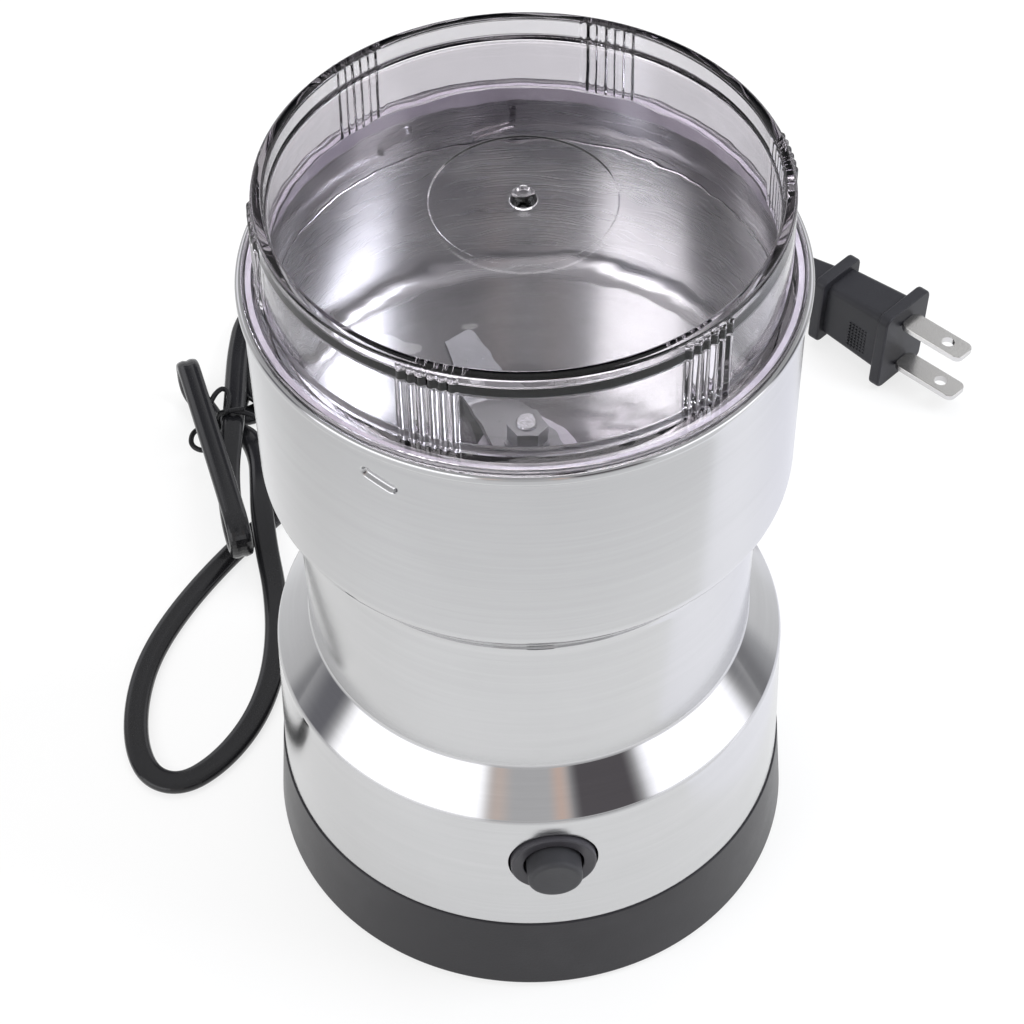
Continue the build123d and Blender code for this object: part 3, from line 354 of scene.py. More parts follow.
def layered(name, first, second, pitch, metallic, rough):
    """Thin layers along the Z axis: laminations of a core, or the turns of a winding."""
    finish = Finish(name)
    place = finish.place()
    along = finish.split(place)[2]
    wave = (along * (2 * pi / pitch)).maths("SINE") * 0.5 + 0.5
    clouds = finish.noise(place, 300.0, 3.0, 0.6)
    shade = finish.mix(wave * 0.7 + clouds * 0.3, first, second)
    return finish.surface(
        {
            "Base Color": shade,
            "Metallic": metallic,
            "Roughness": rough + clouds * 0.15,
            "Normal": finish.bump(wave, pitch * 0.4, 0.5),
        }
    )


def clear_plastic(name, colour):
    """Clear styrene of the lid: faint flow waves, fine scuffs and a violet-grey body."""
    finish = Finish(name)
    place = finish.place()
    waves = finish.noise(place, 55.0, 2.0, 0.4)
    scuffs = finish.noise(place, 900.0, 3.0, 0.6)
    rubbed = finish.step(scuffs, 0.62, 0.8)
    shader = finish.node(
        "ShaderNodeBsdfPrincipled",
        None,
        {
            "Base Color": finish.mix(waves, tint(colour, 0.97), tint(colour, 1.02)),
            "Roughness": 0.012 + rubbed * 0.05,
            "IOR": 1.49,
            "Transmission Weight": 1.0,
            "Normal": finish.bump(waves, 0.0012, 0.35),
        },
    )
    clear = finish.node("ShaderNodeBsdfTransparent", None, {"Color": rgba(tint(colour, 0.93))})
    shadow = finish.node("ShaderNodeLightPath", out="Is Shadow Ray")
    both = finish.node("ShaderNodeMixShader", None, {0: shadow, 1: shader, 2: clear})
    body = finish.node("ShaderNodeVolumeAbsorption", None, {"Color": (0.40, 0.35, 0.385, 1), "Density": 46.0})
    finish.node("ShaderNodeOutputMaterial", None, {"Surface": both, "Volume": body})
    return finish


# ---------------------------------------------------------------- meshes


def rounded(bm, geom, offset, steps, affect="EDGES"):
    return bmesh.ops.bevel(
        bm,
        geom=list(geom),
        offset=offset,
        offset_type="OFFSET",
        segments=steps,
        profile=0.5,
        affect=affect,
        material=-1,
    )


def profile_edges(bm, points, closed):
    """A chain of edges in the XZ plane; a point's third and fourth numbers round its corner, in steps."""
    verts = [bm.verts.new((point[0], 0.0, point[1])) for point in points]
    pairs = list(zip(verts, verts[1:]))
    if closed:
        pairs.append((verts[-1], verts[0]))
    for first, second in pairs:
        bm.edges.new((first, second))
    corners = []
    for index, point in enumerate(points):
        if len(point) == 2:
            continue
        before = Vector(points[index - 1][:2])
        here = Vector(point[:2])
        after = Vector(points[(index + 1) % len(points)][:2])
        turn = (here - before).angle(after - here)
        corners.append((verts[index], point[2] * tan(turn / 2), point[3]))
    for corner, offset, steps in corners:
        rounded(bm, [corner], offset, steps, "VERTICES")


def spin_all(bm, steps, angle=2 * pi):
    """Turns everything in the mesh round the Z axis."""
    bmesh.ops.spin(
        bm,
        geom=bm.verts[:] + bm.edges[:] + bm.faces[:],
        cent=(0, 0, 0),
        axis=(0, 0, 1),
        angle=angle,
        steps=steps,
        use_merge=angle > 6.28,
    )
    bmesh.ops.remove_doubles(bm, verts=bm.verts, dist=MERGE)


def turned(points, steps, closed=False, sectors=1):
    """A solid of revolution round Z from its profile, in millimetres, or the first of its equal sectors."""
    bm = bmesh.new()
    profile_edges(bm, points, closed)
    spin_all(bm, steps // sectors, 2 * pi / sectors)
    return bm


def repeat_round(bm, sectors):
    """Copies the sector round the axis until it closes."""
    sector = bm.verts[:] + bm.edges[:] + bm.faces[:]
    for step in range(1, sectors):
        made = bmesh.ops.duplicate(bm, geom=sector)["geom"]
        verts = [item for item in made if isinstance(item, bmesh.types.BMVert)]
        turn = Matrix.Rotation(2 * pi * step / sectors, 3, "Z")
        bmesh.ops.rotate(bm, cent=(0, 0, 0), matrix=turn, verts=verts)
    bmesh.ops.remove_doubles(bm, verts=bm.verts, dist=MERGE)


def turn_to(bm, azimuth):
    """Turns the mesh so that its +X side faces the azimuth."""
    turn = Matrix.Rotation(radians(azimuth - 90), 3, "Z")
    bmesh.ops.rotate(bm, cent=(0, 0, 0), matrix=turn, verts=bm.verts)


def rise(edge):
    return abs(edge.verts[0].co.z - edge.verts[1].co.z)


def block(bm, size, corner, rim, matrix, taper=1.0):
    """A box with its four long edges rounded by corner and its end rims by rim; its depth runs along Z."""
    made = bmesh.ops.create_cube(bm, size=1.0)["verts"]
    bmesh.ops.scale(bm, vec=size, verts=made)
    if corner:
        upright = {edge for vert in made for edge in vert.link_edges if rise(edge) > size[2] / 2}
        bevelled = rounded(bm, upright, corner, 6)
        made = list({vert for face in bevelled["faces"] for vert in face.verts})
    low = [vert for vert in made if vert.co.z < 0]
    if taper != 1.0:
        bmesh.ops.scale(bm, vec=(taper, taper, 1.0), verts=low)
    if rim:
        ends = {
            edge
            for vert in made
            for edge in vert.link_edges
            if rise(edge) < 1e-6 and all(end in made for end in edge.verts)
        }
        bevelled = rounded(bm, ends, rim, 3)
        seen, waiting = set(bevelled["verts"]), list(bevelled["verts"])
        while waiting:
            vert = waiting.pop()
            for edge in vert.link_edges:
                other = edge.other_vert(vert)
                if other not in seen:
                    seen.add(other)
                    waiting.append(other)
        made = list(seen)
    bmesh.ops.transform(bm, matrix=matrix, verts=made)


def mesh_of(bm, name):
    """Turns the mesh being built into a mesh of that name."""
    mesh = bpy.data.meshes.new(name)
    bm.to_mesh(mesh)
    bm.free()
    return mesh


def put(name, data):
    """Puts an object with that data into the scene."""
    obj = bpy.data.objects.new(name, data)
    bpy.context.scene.collection.objects.link(obj)
    return obj


def piece(bm, name, body, finish, replaces, sharp=SHARP):
    """Makes the mesh a piece of the grinder: real size, smooth shading, its body and finish."""
    bmesh.ops.remove_doubles(bm, verts=bm.verts, dist=MERGE)
    bmesh.ops.recalc_face_normals(bm, faces=bm.faces)
    bmesh.ops.scale(bm, vec=(MM, MM, MM), verts=bm.verts)
    mesh = mesh_of(bm, name)
    mesh.materials.append(finish.material)
    obj = put(name, mesh)
    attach(obj, body)
    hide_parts(*replaces)
    smooth(obj, sharp)
    return obj


def settle(obj):
    """Applies the piece's modifiers to its mesh."""
    bpy.context.view_layer.update()
    shaped = bpy.data.meshes.new_from_object(obj.evaluated_get(bpy.context.evaluated_depsgraph_get()))
    obj.modifiers.clear()
    before = obj.data
    obj.data = shaped
    bpy.data.meshes.remove(before)


def smooth(obj, sharp):
    """Smooth shading up to the sharp angle; flat and straight faces stay so up to their rounded edges."""
    obj.data.shade_smooth()
    obj.data.set_sharp_from_angle(angle=radians(sharp))
    weighted = obj.modifiers.new("straight_faces", "WEIGHTED_NORMAL")
    weighted.keep_sharp = True
    settle(obj)


def drill(radius, start, steps, place):
    """A round cutter along the place's Z, from start to 12 mm."""
    bm = turned([(0, start), (radius, start), (radius, 12), (0, 12)], steps)
    bmesh.ops.transform(bm, matrix=place, verts=bm.verts)
    return bm


def cut(obj, cutter):
    """Takes the cutter's solid, in millimetres, out of the piece."""
    bmesh.ops.recalc_face_normals(cutter, faces=cutter.faces)
    bmesh.ops.scale(cutter, vec=(MM, MM, MM), verts=cutter.verts)
    mesh = mesh_of(cutter, "cutter")
    tool = put("cutter", mesh)
    modifier = obj.modifiers.new("cut", "BOOLEAN")
    modifier.operation = "DIFFERENCE"
    modifier.solver = "EXACT"
    modifier.object = tool
    settle(obj)
    bpy.data.objects.remove(tool)
    bpy.data.meshes.remove(mesh)
    smooth(obj, SHARP)


def frame_at(x_way, y_way, z_way, place):
    matrix = Matrix((x_way, y_way, z_way)).transposed().to_4x4()
    matrix.translation = place
    return matrix


def outward(azimuth, radius, height):
    """Z points outwards at that azimuth, Y up and X along the tangent."""
    turn = radians(azimuth)
    way = Vector((sin(turn), -cos(turn), 0))
    side = Vector((cos(turn), sin(turn), 0))
    return frame_at(side, Vector((0, 0, 1)), way, way * radius + Vector((0, 0, height)))


def plug_frame(along):
    """Z along the plug's axis, Y its long side, X its short side."""
    return frame_at(PLUG_SIDE, PLUG_UP, PLUG_AXIS, PLUG_PLACE + PLUG_AXIS * along)


def smoothstep(low, high, value):
    """0 below low, 1 above high, smooth between."""
    share = min(1.0, max(0.0, (value - low) / (high - low)))
    return share * share * (3 - 2 * share)


# ---------------------------------------------------------------- sizes and colours


class GrinderSizes(bpy.types.PropertyGroup):
    """Sizes that shape the visible pieces."""

    cup_radius: bpy.props.FloatProperty(
        name="Cup radius", description="Outer radius of the cup's wall", default=0.0492, unit="LENGTH"
    )
    bead_radius: bpy.props.FloatProperty(
        name="Bead radius", description="Outer radius of the cup's rolled bead", default=0.0501, unit="LENGTH"
    )
    flange_radius: bpy.props.FloatProperty(
        name="Lid flange radius", description="Outer radius of the lid's flange", default=0.049, unit="LENGTH"
    )
    skirt_radius: bpy.props.FloatProperty(
        name="Lid skirt radius",
        description="Outer radius at the foot of the lid's skirt",
        default=0.0462,
        unit="LENGTH",
    )
    base_radius: bpy.props.FloatProperty(
        name="Base radius", description="Outer radius at the foot of the base", default=0.0532, unit="LENGTH"
    )
    button_radius: bpy.props.FloatProperty(
        name="Button radius", description="Radius of the push button", default=0.0053, unit="LENGTH"
    )


class GrinderColours(bpy.types.PropertyGroup):
    """Colours of the visible finishes."""

    steel: bpy.props.FloatVectorProperty(
        name="Steel", description="Brushed stainless steel", subtype="COLOR", default=(0.60, 0.60, 0.605)
    )
    lid: bpy.props.FloatVectorProperty(
        name="Lid", description="Tint of the clear lid", subtype="COLOR", default=(0.97, 0.955, 0.975)
    )
    base: bpy.props.FloatVectorProperty(
        name="Base",
        description="Charcoal plastic of the base",
        subtype="COLOR",
        default=(0.021, 0.020, 0.023),
    )
    button: bpy.props.FloatVectorProperty(
        name="Button",
        description="Plastic of the push button",
        subtype="COLOR",
        default=(0.040, 0.040, 0.044),
    )
    cord: bpy.props.FloatVectorProperty(
        name="Cord", description="Sheath of the flat lead", subtype="COLOR", default=(0.008, 0.008, 0.009)
    )
    plug: bpy.props.FloatVectorProperty(
        name="Plug", description="Moulded plug", subtype="COLOR", default=(0.024, 0.024, 0.028)
    )
    pins: bpy.props.FloatVectorProperty(
        name="Pins", description="Nickel of the plug's blades", subtype="COLOR", default=(0.78, 0.77, 0.74)
    )


# ---------------------------------------------------------------- the grinder's pieces


def press_lug(bm, azimuth, outer, inner):
    """Presses a slanted slot-shaped dent into the wall, which stands out as a lug inside."""
    frame_in = outward(azimuth, 0.0, LUG_HEIGHT)
    to_local = frame_in.inverted()
    near = set()
    for face in bm.faces:
        middle = to_local @ face.calc_center_median()
        if middle.z > inner - 3 and abs(middle.x) < LUG_FIELD[0] and abs(middle.y) < LUG_FIELD[1]:
            near.update(face.edges)
    made = bmesh.ops.subdivide_edges(bm, edges=list(near), cuts=5, use_grid_fill=True)
    way = frame_in.to_3x3() @ Vector((0, 0, 1))
    slope = radians(-LUG_SLOPE)
    along = Vector((cos(slope), sin(slope)))
    across = Vector((-sin(slope), cos(slope)))
    half = (LUG_LENGTH - LUG_WIDTH) / 2
    verts = {vert for item in made["geom"] if isinstance(item, bmesh.types.BMEdge) for vert in item.verts}
    verts |= {vert for edge in near if edge.is_valid for vert in edge.verts}
    for vert in verts:
        local = to_local @ vert.co
        spot = Vector((local.x, local.y))
        s, t = spot.dot(along), spot.dot(across)
        distance = sqrt(max(0.0, abs(s) - half) ** 2 + t * t)
        radius = sqrt(vert.co.x**2 + vert.co.y**2)
        if radius > (outer + inner) / 2:
            depth = LUG_DENT * (1 - smoothstep(LUG_WIDTH / 2 - 0.55, LUG_WIDTH / 2 + 0.25, distance))
        else:
            depth = LUG_REACH * (1 - smoothstep(LUG_WIDTH / 2 - 0.45, LUG_WIDTH / 2 + 0.55, distance))
        vert.co -= way * depth


class GRINDER_OT_cup(bpy.types.Operator):
    """Spins the steel cup with its bead and presses in the three lock lugs"""

    bl_idname = "grinder.cup"
    bl_label = "Grinding cup"

    def execute(self, context):
        sizes = context.scene.grinder_sizes
        outer = sizes.cup_radius / MM
        bead = sizes.bead_radius / MM
        inner = outer - STEEL
        rows = [LUG_HEIGHT + LUG_FIELD[1] - 0.8 * step for step in range(12)]
        profile = [
            (CUP_HOLE, CUP_FOOT),
            (outer, CUP_FOOT, 5.0, 10),
            *[(outer, height) for height in reversed(rows)],
            (outer, RIM - 2.0, 0.25, 2),
            (bead, RIM - 2.0, 0.7, 5),
            (bead, RIM, 0.7, 5),
            (inner, RIM, 0.3, 3),
            *[(inner, height) for height in rows],
            (inner, CUP_FLOOR, 4.3, 10),
            (CUP_HOLE, CUP_FLOOR),
        ]
        bm = turned(profile, 384, closed=True, sectors=3)
        turn_to(bm, LUG_AZIMUTHS[0] - 60)
        press_lug(bm, LUG_AZIMUTHS[0], outer, inner)
        repeat_round(bm, 3)
        bands = ((CUP_FOOT - 1, CUP_FOOT + 3.4), (RIM - 2.3, RIM + 1))
        steel = brushed_steel("cup_steel", context.scene.grinder_colours.steel, bands)
        piece(bm, "spun_cup", "housing", steel, ["grinding_cup"])
        return {"FINISHED"}


class GRINDER_OT_housing(bpy.types.Operator):
    """Spins the lower housing: wall, bright cone shoulder, waist and flare, with the button's hole"""

    bl_idname = "grinder.housing"
    bl_label = "Lower housing"

    def execute(self, context):
        flare = [(WAIST, FLARE_START)]
        flare_inner = [(WAIST - STEEL, FLARE_START)]
        out, climb = FLARE - WAIST, CUP_FOOT - FLARE_START
        arc = (out**2 + climb**2) / (2 * out)
        bend = atan2(climb, arc - out)
        for step in range(1, 9):
            turn = bend * step / 8
            flare.append((WAIST + arc * (1 - cos(turn)), FLARE_START + arc * sin(turn)))
            flare_inner.append((flare[-1][0] - STEEL * 1.1, min(flare[-1][1], CUP_FOOT - STEEL)))
        profile = [
            (WALL_BOTTOM - STEEL, BASE_TOP),
            (WALL_BOTTOM, BASE_TOP, 0.2, 2),
            (WALL_TOP, SHOULDER_LOW, 2.1, 8),
            (WAIST, SHOULDER_HIGH, 1.4, 6),
            *flare,
            (LIP_INNER, CUP_FOOT),
            (LIP_INNER, CUP_FOOT - STEEL),
            *reversed(flare_inner),
            (WAIST - STEEL, SHOULDER_HIGH - STEEL / 3, 1.0, 3),
            (WALL_TOP - STEEL, SHOULDER_LOW - STEEL / 3, 1.4, 4),
        ]
        bm = turned(profile, 384, closed=True)
        bands = ((SHOULDER_LOW - 1.4, SHOULDER_HIGH + 0.6), (FLARE_START - 0.6, CUP_FOOT + 0.5))
        steel = brushed_steel("housing_steel", context.scene.grinder_colours.steel, bands)
        shell = piece(bm, "spun_housing", "housing", steel, ["housing_shell"])
        cut(shell, drill(HOLE_RADIUS, 0, 96, outward(BUTTON_AZIMUTH, HOLE_START, BUTTON_HEIGHT)))
        return {"FINISHED"}


class GRINDER_OT_base(bpy.types.Operator):
    """Turns the charcoal base ring with its spigot and shelf, and the cord's hole"""

    bl_idname = "grinder.base"
    bl_label = "Base ring"

    def execute(self, context):
        foot = context.scene.grinder_sizes.base_radius / MM
        top = foot - 1.6
        profile = [
            (foot - PLASTIC, FOOT_STAND),
            (foot, FOOT_STAND, 0.8, 5),
            (top, BASE_TOP, 0.35, 3),
            (SPIGOT, BASE_TOP),
            (SPIGOT, BASE_TOP + 4),
            (SPIGOT - 2, BASE_TOP + 4),
            (SPIGOT - 2, BASE_TOP),
            (SHELF_INNER, BASE_TOP),
            (SHELF_INNER, BASE_TOP - 2.5),
            (top - PLASTIC, BASE_TOP - 2.5),
        ]
        bm = turned(profile, 288, closed=True)
        low, high = 4.0, BASE_TOP - 2.52
        section = [(BOSS_BORE, low), (BOSS_RADIUS, low), (BOSS_RADIUS, high), (BOSS_BORE, high)]
        for azimuth in BOSS_AZIMUTHS:
            boss = turned(section, 32, closed=True)
            turn = radians(azimuth)
            place = Matrix.Translation((BOSS_CIRCLE * sin(turn), -BOSS_CIRCLE * cos(turn), 0))
            bmesh.ops.transform(boss, matrix=place, verts=boss.verts)
            add_to(bm, boss)
        colour = context.scene.grinder_colours.base
        plastic = moulded("base_plastic", colour, rough=0.36, grain=2400.0)
        ring = piece(bm, "base_shell", "housing", plastic, ["base_ring"])
        cut(ring, drill(EXIT_RADIUS, 0, 64, outward(180, EXIT_START, EXIT_HEIGHT)))
        return {"FINISHED"}


def add_to(bm, other):
    """Copies the other mesh into this one and frees it."""
    mesh = mesh_of(other, "joined")
    bm.from_mesh(mesh)
    bpy.data.meshes.remove(mesh)


class GRINDER_OT_lid(bpy.types.Operator):
    """Turns the clear lid with its recessed plate, gate pip, grip ribs, flange and lock ramps"""

    bl_idname = "grinder.lid"
    bl_label = "Clear lid"

    def execute(self, context):
        sizes = context.scene.grinder_sizes
        skirt = sizes.skirt_radius / MM
        flange = sizes.flange_radius / MM
        draft = 0.3
        top = skirt - draft
        inner = top - LID_WALL
        rib_rows = [167.98, 167.85, 167.7, 167.2, FLANGE_TOP + 0.6, FLANGE_TOP + 0.05]

        def skirt_at(height):
            return skirt - draft * (height - FLANGE_TOP) / (LID_TOP - FLANGE_TOP)

        profile = [
            (0, PLATE_FACE + 1.0),
            (0.9, PLATE_FACE + 1.3, 0.3, 3),
            (1.4, PLATE_FACE + 1.9, 0.25, 3),
            (2.0, PLATE_FACE + 1.2, 0.5, 3),
            (2.4, DISC_FACE, 0.3, 3),
            (DISC_RADIUS, DISC_FACE, 0.14, 2),
            (DISC_RADIUS + 0.25, PLATE_FACE, 0.14, 2),
            (inner, PLATE_FACE, 0.6, 4),
            (inner, LID_TOP, 0.55, 4),
            (top, LID_TOP, 0.55, 4),
            *[(skirt_at(height), height) for height in rib_rows],
            (skirt, FLANGE_TOP),
            (flange, FLANGE_TOP, 0.33, 3),
            (flange, LID_SEAT, 0.33, 3),
            (PLUG_SKIRT, LID_SEAT, 0.2, 2),
            (PLUG_SKIRT, SKIRT_FOOT, 0.4, 3),
            (PLUG_SKIRT_INNER, SKIRT_FOOT, 0.4, 3),
            (PLUG_SKIRT_INNER, FLANGE_TOP, 0.6, 3),
            (skirt - LID_WALL, FLANGE_TOP + 1.0, 0.6, 3),
            (inner, PLATE_UNDER, 0.5, 3),
            (0, PLATE_UNDER),
        ]
        bm = turned(profile, 1080, sectors=RIB_GROUPS)
        half_sector = 180 / RIB_GROUPS
        turn_to(bm, RIB_START - half_sector)
        for vert in bm.verts:
            height = vert.co.z
            radius = vert.co.xy.length
            if not FLANGE_TOP - 0.01 < height < RIB_TOP + 0.05 or abs(radius - skirt_at(height)) > 0.02:
                continue
            azimuth = degrees(atan2(vert.co.x, -vert.co.y))
            in_group = (azimuth - RIB_START + half_sector) % (2 * half_sector) - half_sector
            place = in_group / RIB_PITCH + (RIBS_A_GROUP - 1) / 2
            nearest = min(RIBS_A_GROUP - 1, max(0, round(place)))
            off = abs(place - nearest) * RIB_PITCH * radians(1) * radius
            if off < RIB_RADIUS:
                proud = max(0.0, RIB_CENTRE + sqrt(RIB_RADIUS**2 - off**2) - radius)
                fade = 1 - smoothstep(RIB_TOP - 0.25, RIB_TOP, height)
                vert.co += Vector((vert.co.x, vert.co.y, 0)).normalized() * proud * fade
        repeat_round(bm, RIB_GROUPS)
        for azimuth in LUG_AZIMUTHS:
            add_to(bm, ramp_of(azimuth))
        clear = clear_plastic("lid_styrene", context.scene.grinder_colours.lid)
        piece(bm, "clear_lid", "lid", clear, ["lid"], LID_SHARP)
        return {"FINISHED"}


def ramp_of(azimuth):
    """One lock ramp on the lid's lower skirt: a bar along the lug's slope, and a stop at its high end."""

    def bar(low, high, steps, arc):
        foot = PLUG_SKIRT + 0.03
        bm = bmesh.new()
        section = [(foot, low), (RAMP_RADIUS, low, 0.25, 2), (RAMP_RADIUS, high, 0.25, 2), (foot, high)]
        profile_edges(bm, section, True)
        spin_all(bm, steps, radians(arc))
        bmesh.ops.holes_fill(bm, edges=bm.edges, sides=0)
        return bm

    bm = bar(-RAMP_HALF, RAMP_HALF, 14, RAMP_ARC)
    for vert in bm.verts:
        past_lug = atan2(vert.co.y, vert.co.x) - radians(RAMP_LEAD)
        vert.co.z += RAMP_HEIGHT - RAMP_MIDDLE * past_lug * tan(radians(LUG_SLOPE))
    add_to(bm, bar(STOP_LOW, STOP_HIGH, 4, STOP_ARC))
    turn_to(bm, azimuth - LOCK_TURN - RAMP_LEAD)
    return bm


class GRINDER_OT_button(bpy.types.Operator):
    """Turns the push button and the ring bezel round it, with its two arms"""

    bl_idname = "grinder.button"
    bl_label = "Button and bezel"

    def execute(self, context):
        radius = context.scene.grinder_sizes.button_radius / MM
        colours = context.scene.grinder_colours
        back = COLLAR_FRONT - 0.05
        cap = turned(
            [
                (0, CAP_FRONT - 0.12),
                (radius * 0.55, CAP_FRONT - 0.10),
                (radius * 0.8, CAP_FRONT),
                (radius, CAP_FRONT, 0.9, 6),
                (radius, back),
                (COLLAR_RADIUS, back),
                (COLLAR_RADIUS, back - COLLAR_DEPTH),
                (STEM_RADIUS, back - COLLAR_DEPTH),
                (STEM_RADIUS, STEM_BACK),
                (0, STEM_BACK),
            ],
            96,
        )
        place = outward(BUTTON_AZIMUTH, 0.0, BUTTON_HEIGHT)
        bmesh.ops.transform(cap, matrix=place, verts=cap.verts)
        cap_finish = moulded("button_plastic", colours.button, rough=0.5, grain=2200.0, depth=0.00005)
        piece(cap, "push_button", "button", cap_finish, ["button_cap"])

        bezel = turned(
            [
                (BEZEL_BORE, COLLAR_FRONT, 0.1, 2),
                (BEZEL_BORE + 0.1, BEZEL_FACE - 0.3, 0.25, 4),
                (BEZEL_RADIUS, BEZEL_FACE, 0.45, 5),
                (BEZEL_RADIUS, COLLAR_FRONT),
            ],
            96,
            closed=True,
        )
        bmesh.ops.transform(bezel, matrix=place, verts=bezel.verts)
        for side in (1, -1):
            leg = Matrix.Translation((side * LEG_PLACE[0], *LEG_PLACE[1:]))
            block(bezel, LEG_SIZE, 0.4, 0.1, place @ leg)
            arm = Matrix.Translation((side * ARM_PLACE[0], *ARM_PLACE[1:]))
            block(bezel, ARM_SIZE, 0.3, 0.1, place @ arm)
        bezel_finish = moulded("bezel_plastic", tint(colours.base, 2.2), 0.38)
        piece(bezel, "button_bezel", "housing", bezel_finish, ["switch_holder"])
        return {"FINISHED"}


ROUTE = (
    # straight out of the strain relief, then down to the table
    (0, 75.1, 9.5),
    (0, 84, 9.5),
    (-3.5, 94, 7.6),
    (-12, 101.5, 4.6),
    (-24, 104, 2.3),
    (-37, 99.5, 1.45),
    (-48, 88.5, 1.45),
    (-56.5, 76.0, 1.45),
    (-68, 62.3, 1.45),
    # the big loop beside the base
    (-78.2, 46.5, 1.45),
    (-84.6, 32, 1.45),
    (-86.6, 19, 1.45),
    (-85.6, 6.8, 1.45),
    (-81.6, -1.6, 1.45),
    (-74.4, -3.4, 1.45),
    (-66.8, 2.6, 1.45),
    (-60.6, 12.5, 1.45),
    (-57.2, 24, 1.45),
    (-56.4, 37, 1.45),
    (-57.7, 50.5, 1.6),
    (-60, 60.5, 4.2),
    # over the first strand, and in an arch through the tie
    (-61.3, 69, 7.4),
    (-61.9, 77.5, 7.6),
    (-62.7, 86.2, 6.8),
    (-65.8, 94.2, 6.2),
    (-71.0, 97.2, 5.0),
    (-75.0, 102.0, 3.4),
    (-78.0, 107.5, 2.9),
    # hairpin: up and over, down across the tie, and back under itself
    (-81.6, 113.0, 2.7),
    (-81.6, 113.0, 13.8),
    (-78.3, 101.5, 15.0),
    (-75.2, 90.8, 15.9),
    (-71.4, 77.8, 16.7),
    (-68.0, 66.2, 17.2),
    (-64.6, 54.4, 17.4),
    (-64.6, 54.4, 7.6),
    (-68.0, 66.2, 7.9),
    (-69.8, 80, 8.8),
    (-69.4, 92, 9.9),
    (-69.3, 101, 9.9),
    (-69.8, 111, 8.4),
    # first turn of the hank, on the table
    (-70.1, 122, 6.4),
    (-69.4, 135.5, 4.6),
    (-61, 149.5, 3.2),
    (-45, 159.5, 2.2),
    (-25, 163.2, 1.7),
    (-8, 161.5, 1.6),
    (3.5, 152, 1.6),
    (6, 139, 1.6),
    (0.5, 127, 1.6),
    (-13, 120.5, 1.6),
    (-31, 120, 1.6),
    (-47, 120, 1.6),
    (-57, 114.5, 1.6),
    (-65.5, 104.5, 1.8),
    (-70.8, 104.8, 2.3),
    (-68.6, 114, 3.0),
    # second turn, on the first
    (-66.0, 126, 3.9),
    (-60.5, 141, 4.5),
    (-46, 152.5, 4.6),
    (-27, 158, 4.6),
    (-10, 155.5, 4.6),
    (-1, 146.5, 4.6),
    (-0.5, 135.5, 4.6),
    (-8, 127.5, 4.6),
    (-22, 123.5, 4.6),
    (-38, 122.5, 4.6),
    (-50, 120, 4.6),
    (-58, 113.8, 4.8),
    (-64, 106.5, 5.3),
    (-66.5, 112, 6.2),
    # last strand over both, and the tail to the plug
    (-62.5, 127, 7.4),
    (-53.5, 140, 7.6),
    (-39, 149.5, 7.6),
    (-22, 153, 7.6),
    (-8, 152, 7.2),
    (5, 148.5, 5.8),
    (16, 147, 4.2),
    (27, 153, 3.2),
    (39, 157.5, 4),
    (51, 155.5, 7.4),
    (57.53, 150.34, 11.45),
    (64.56, 143.67, 11.45),
)
TIE_RING = (
    (-69, 96.5, 12.3),
    (-65.5, 96.0, 12.3),
    (-62.4, 95.2, 9.8),
    (-62.0, 96.2, 4.6),
    (-63.0, 97.6, 0.75),
    (-68, 98.2, 0.65),
    (-72.6, 98.0, 0.75),
    (-73.3, 97.4, 5.0),
    (-73.2, 96.8, 11.2),
    (-70.5, 96.4, 12.4),
    (-66.5, 96.6, 12.9),
)
TIE_ENDS = (
    (
        (-73.2, 96.6, 8.6),
        (-76.2, 94.6, 9.2),
        (-79.0, 92.4, 9.4),
        (-79.0, 88.4, 9.0),
        (-75.4, 86.8, 8.6),
        (-73.2, 88.8, 8.4),
    ),
    (
        (-75.6, 94.5, 11.2),
        (-75.0, 100.5, 12.0),
        (-72.2, 105.0, 12.2),
        (-69.9, 101.0, 12.3),
        (-70.9, 95.8, 12.4),
    ),
)


def read_path(name, points):
    """Points along the smooth line that the route's points control, in metres."""
    curve = bpy.data.curves.new(name, "CURVE")
    curve.dimensions = "3D"
    curve.resolution_u = 10
    spline = curve.splines.new("NURBS")
    spline.points.add(len(points) - 1)
    for point, place in zip(spline.points, points):
        point.co = (*[value * MM for value in place], 1)
    spline.order_u = 3
    spline.use_endpoint_u = True
    line = put(name, curve)
    bpy.context.view_layer.update()
    mesh = bpy.data.meshes.new_from_object(line.evaluated_get(bpy.context.evaluated_depsgraph_get()))
    path = [vert.co.copy() for vert in mesh.vertices]
    bpy.data.meshes.remove(mesh)
    bpy.data.objects.remove(line)
    bpy.data.curves.remove(curve)
    kept = [path[0]]
    for place in path[1:]:
        if (place - kept[-1]).length > 0.0004:
            kept.append(place)
    return kept


def lead_frames(path):
    """A frame at each point of the path: X the lead's wide side, level where the run allows, Z along it."""
    frames = []
    side = None
    for index, here in enumerate(path):
        tangent = (path[min(index + 1, len(path) - 1)] - path[max(index - 1, 0)]).normalized()
        level = Vector((0, 0, 1)).cross(tangent)
        steep = level.length
        if side is None:
            side = level.normalized()
        carried = (side - tangent * side.dot(tangent)).normalized()
        if steep > 1e-3:
            level.normalize()
            if level.dot(carried) < 0:
                level = -level
            weight = 0.5 * smoothstep(0.15, 0.6, steep)
            carried = carried.lerp(level, weight).normalized()
        side = (carried - tangent * carried.dot(tangent)).normalized()
        frames.append(frame_at(side, tangent.cross(side), tangent, here))
    return frames


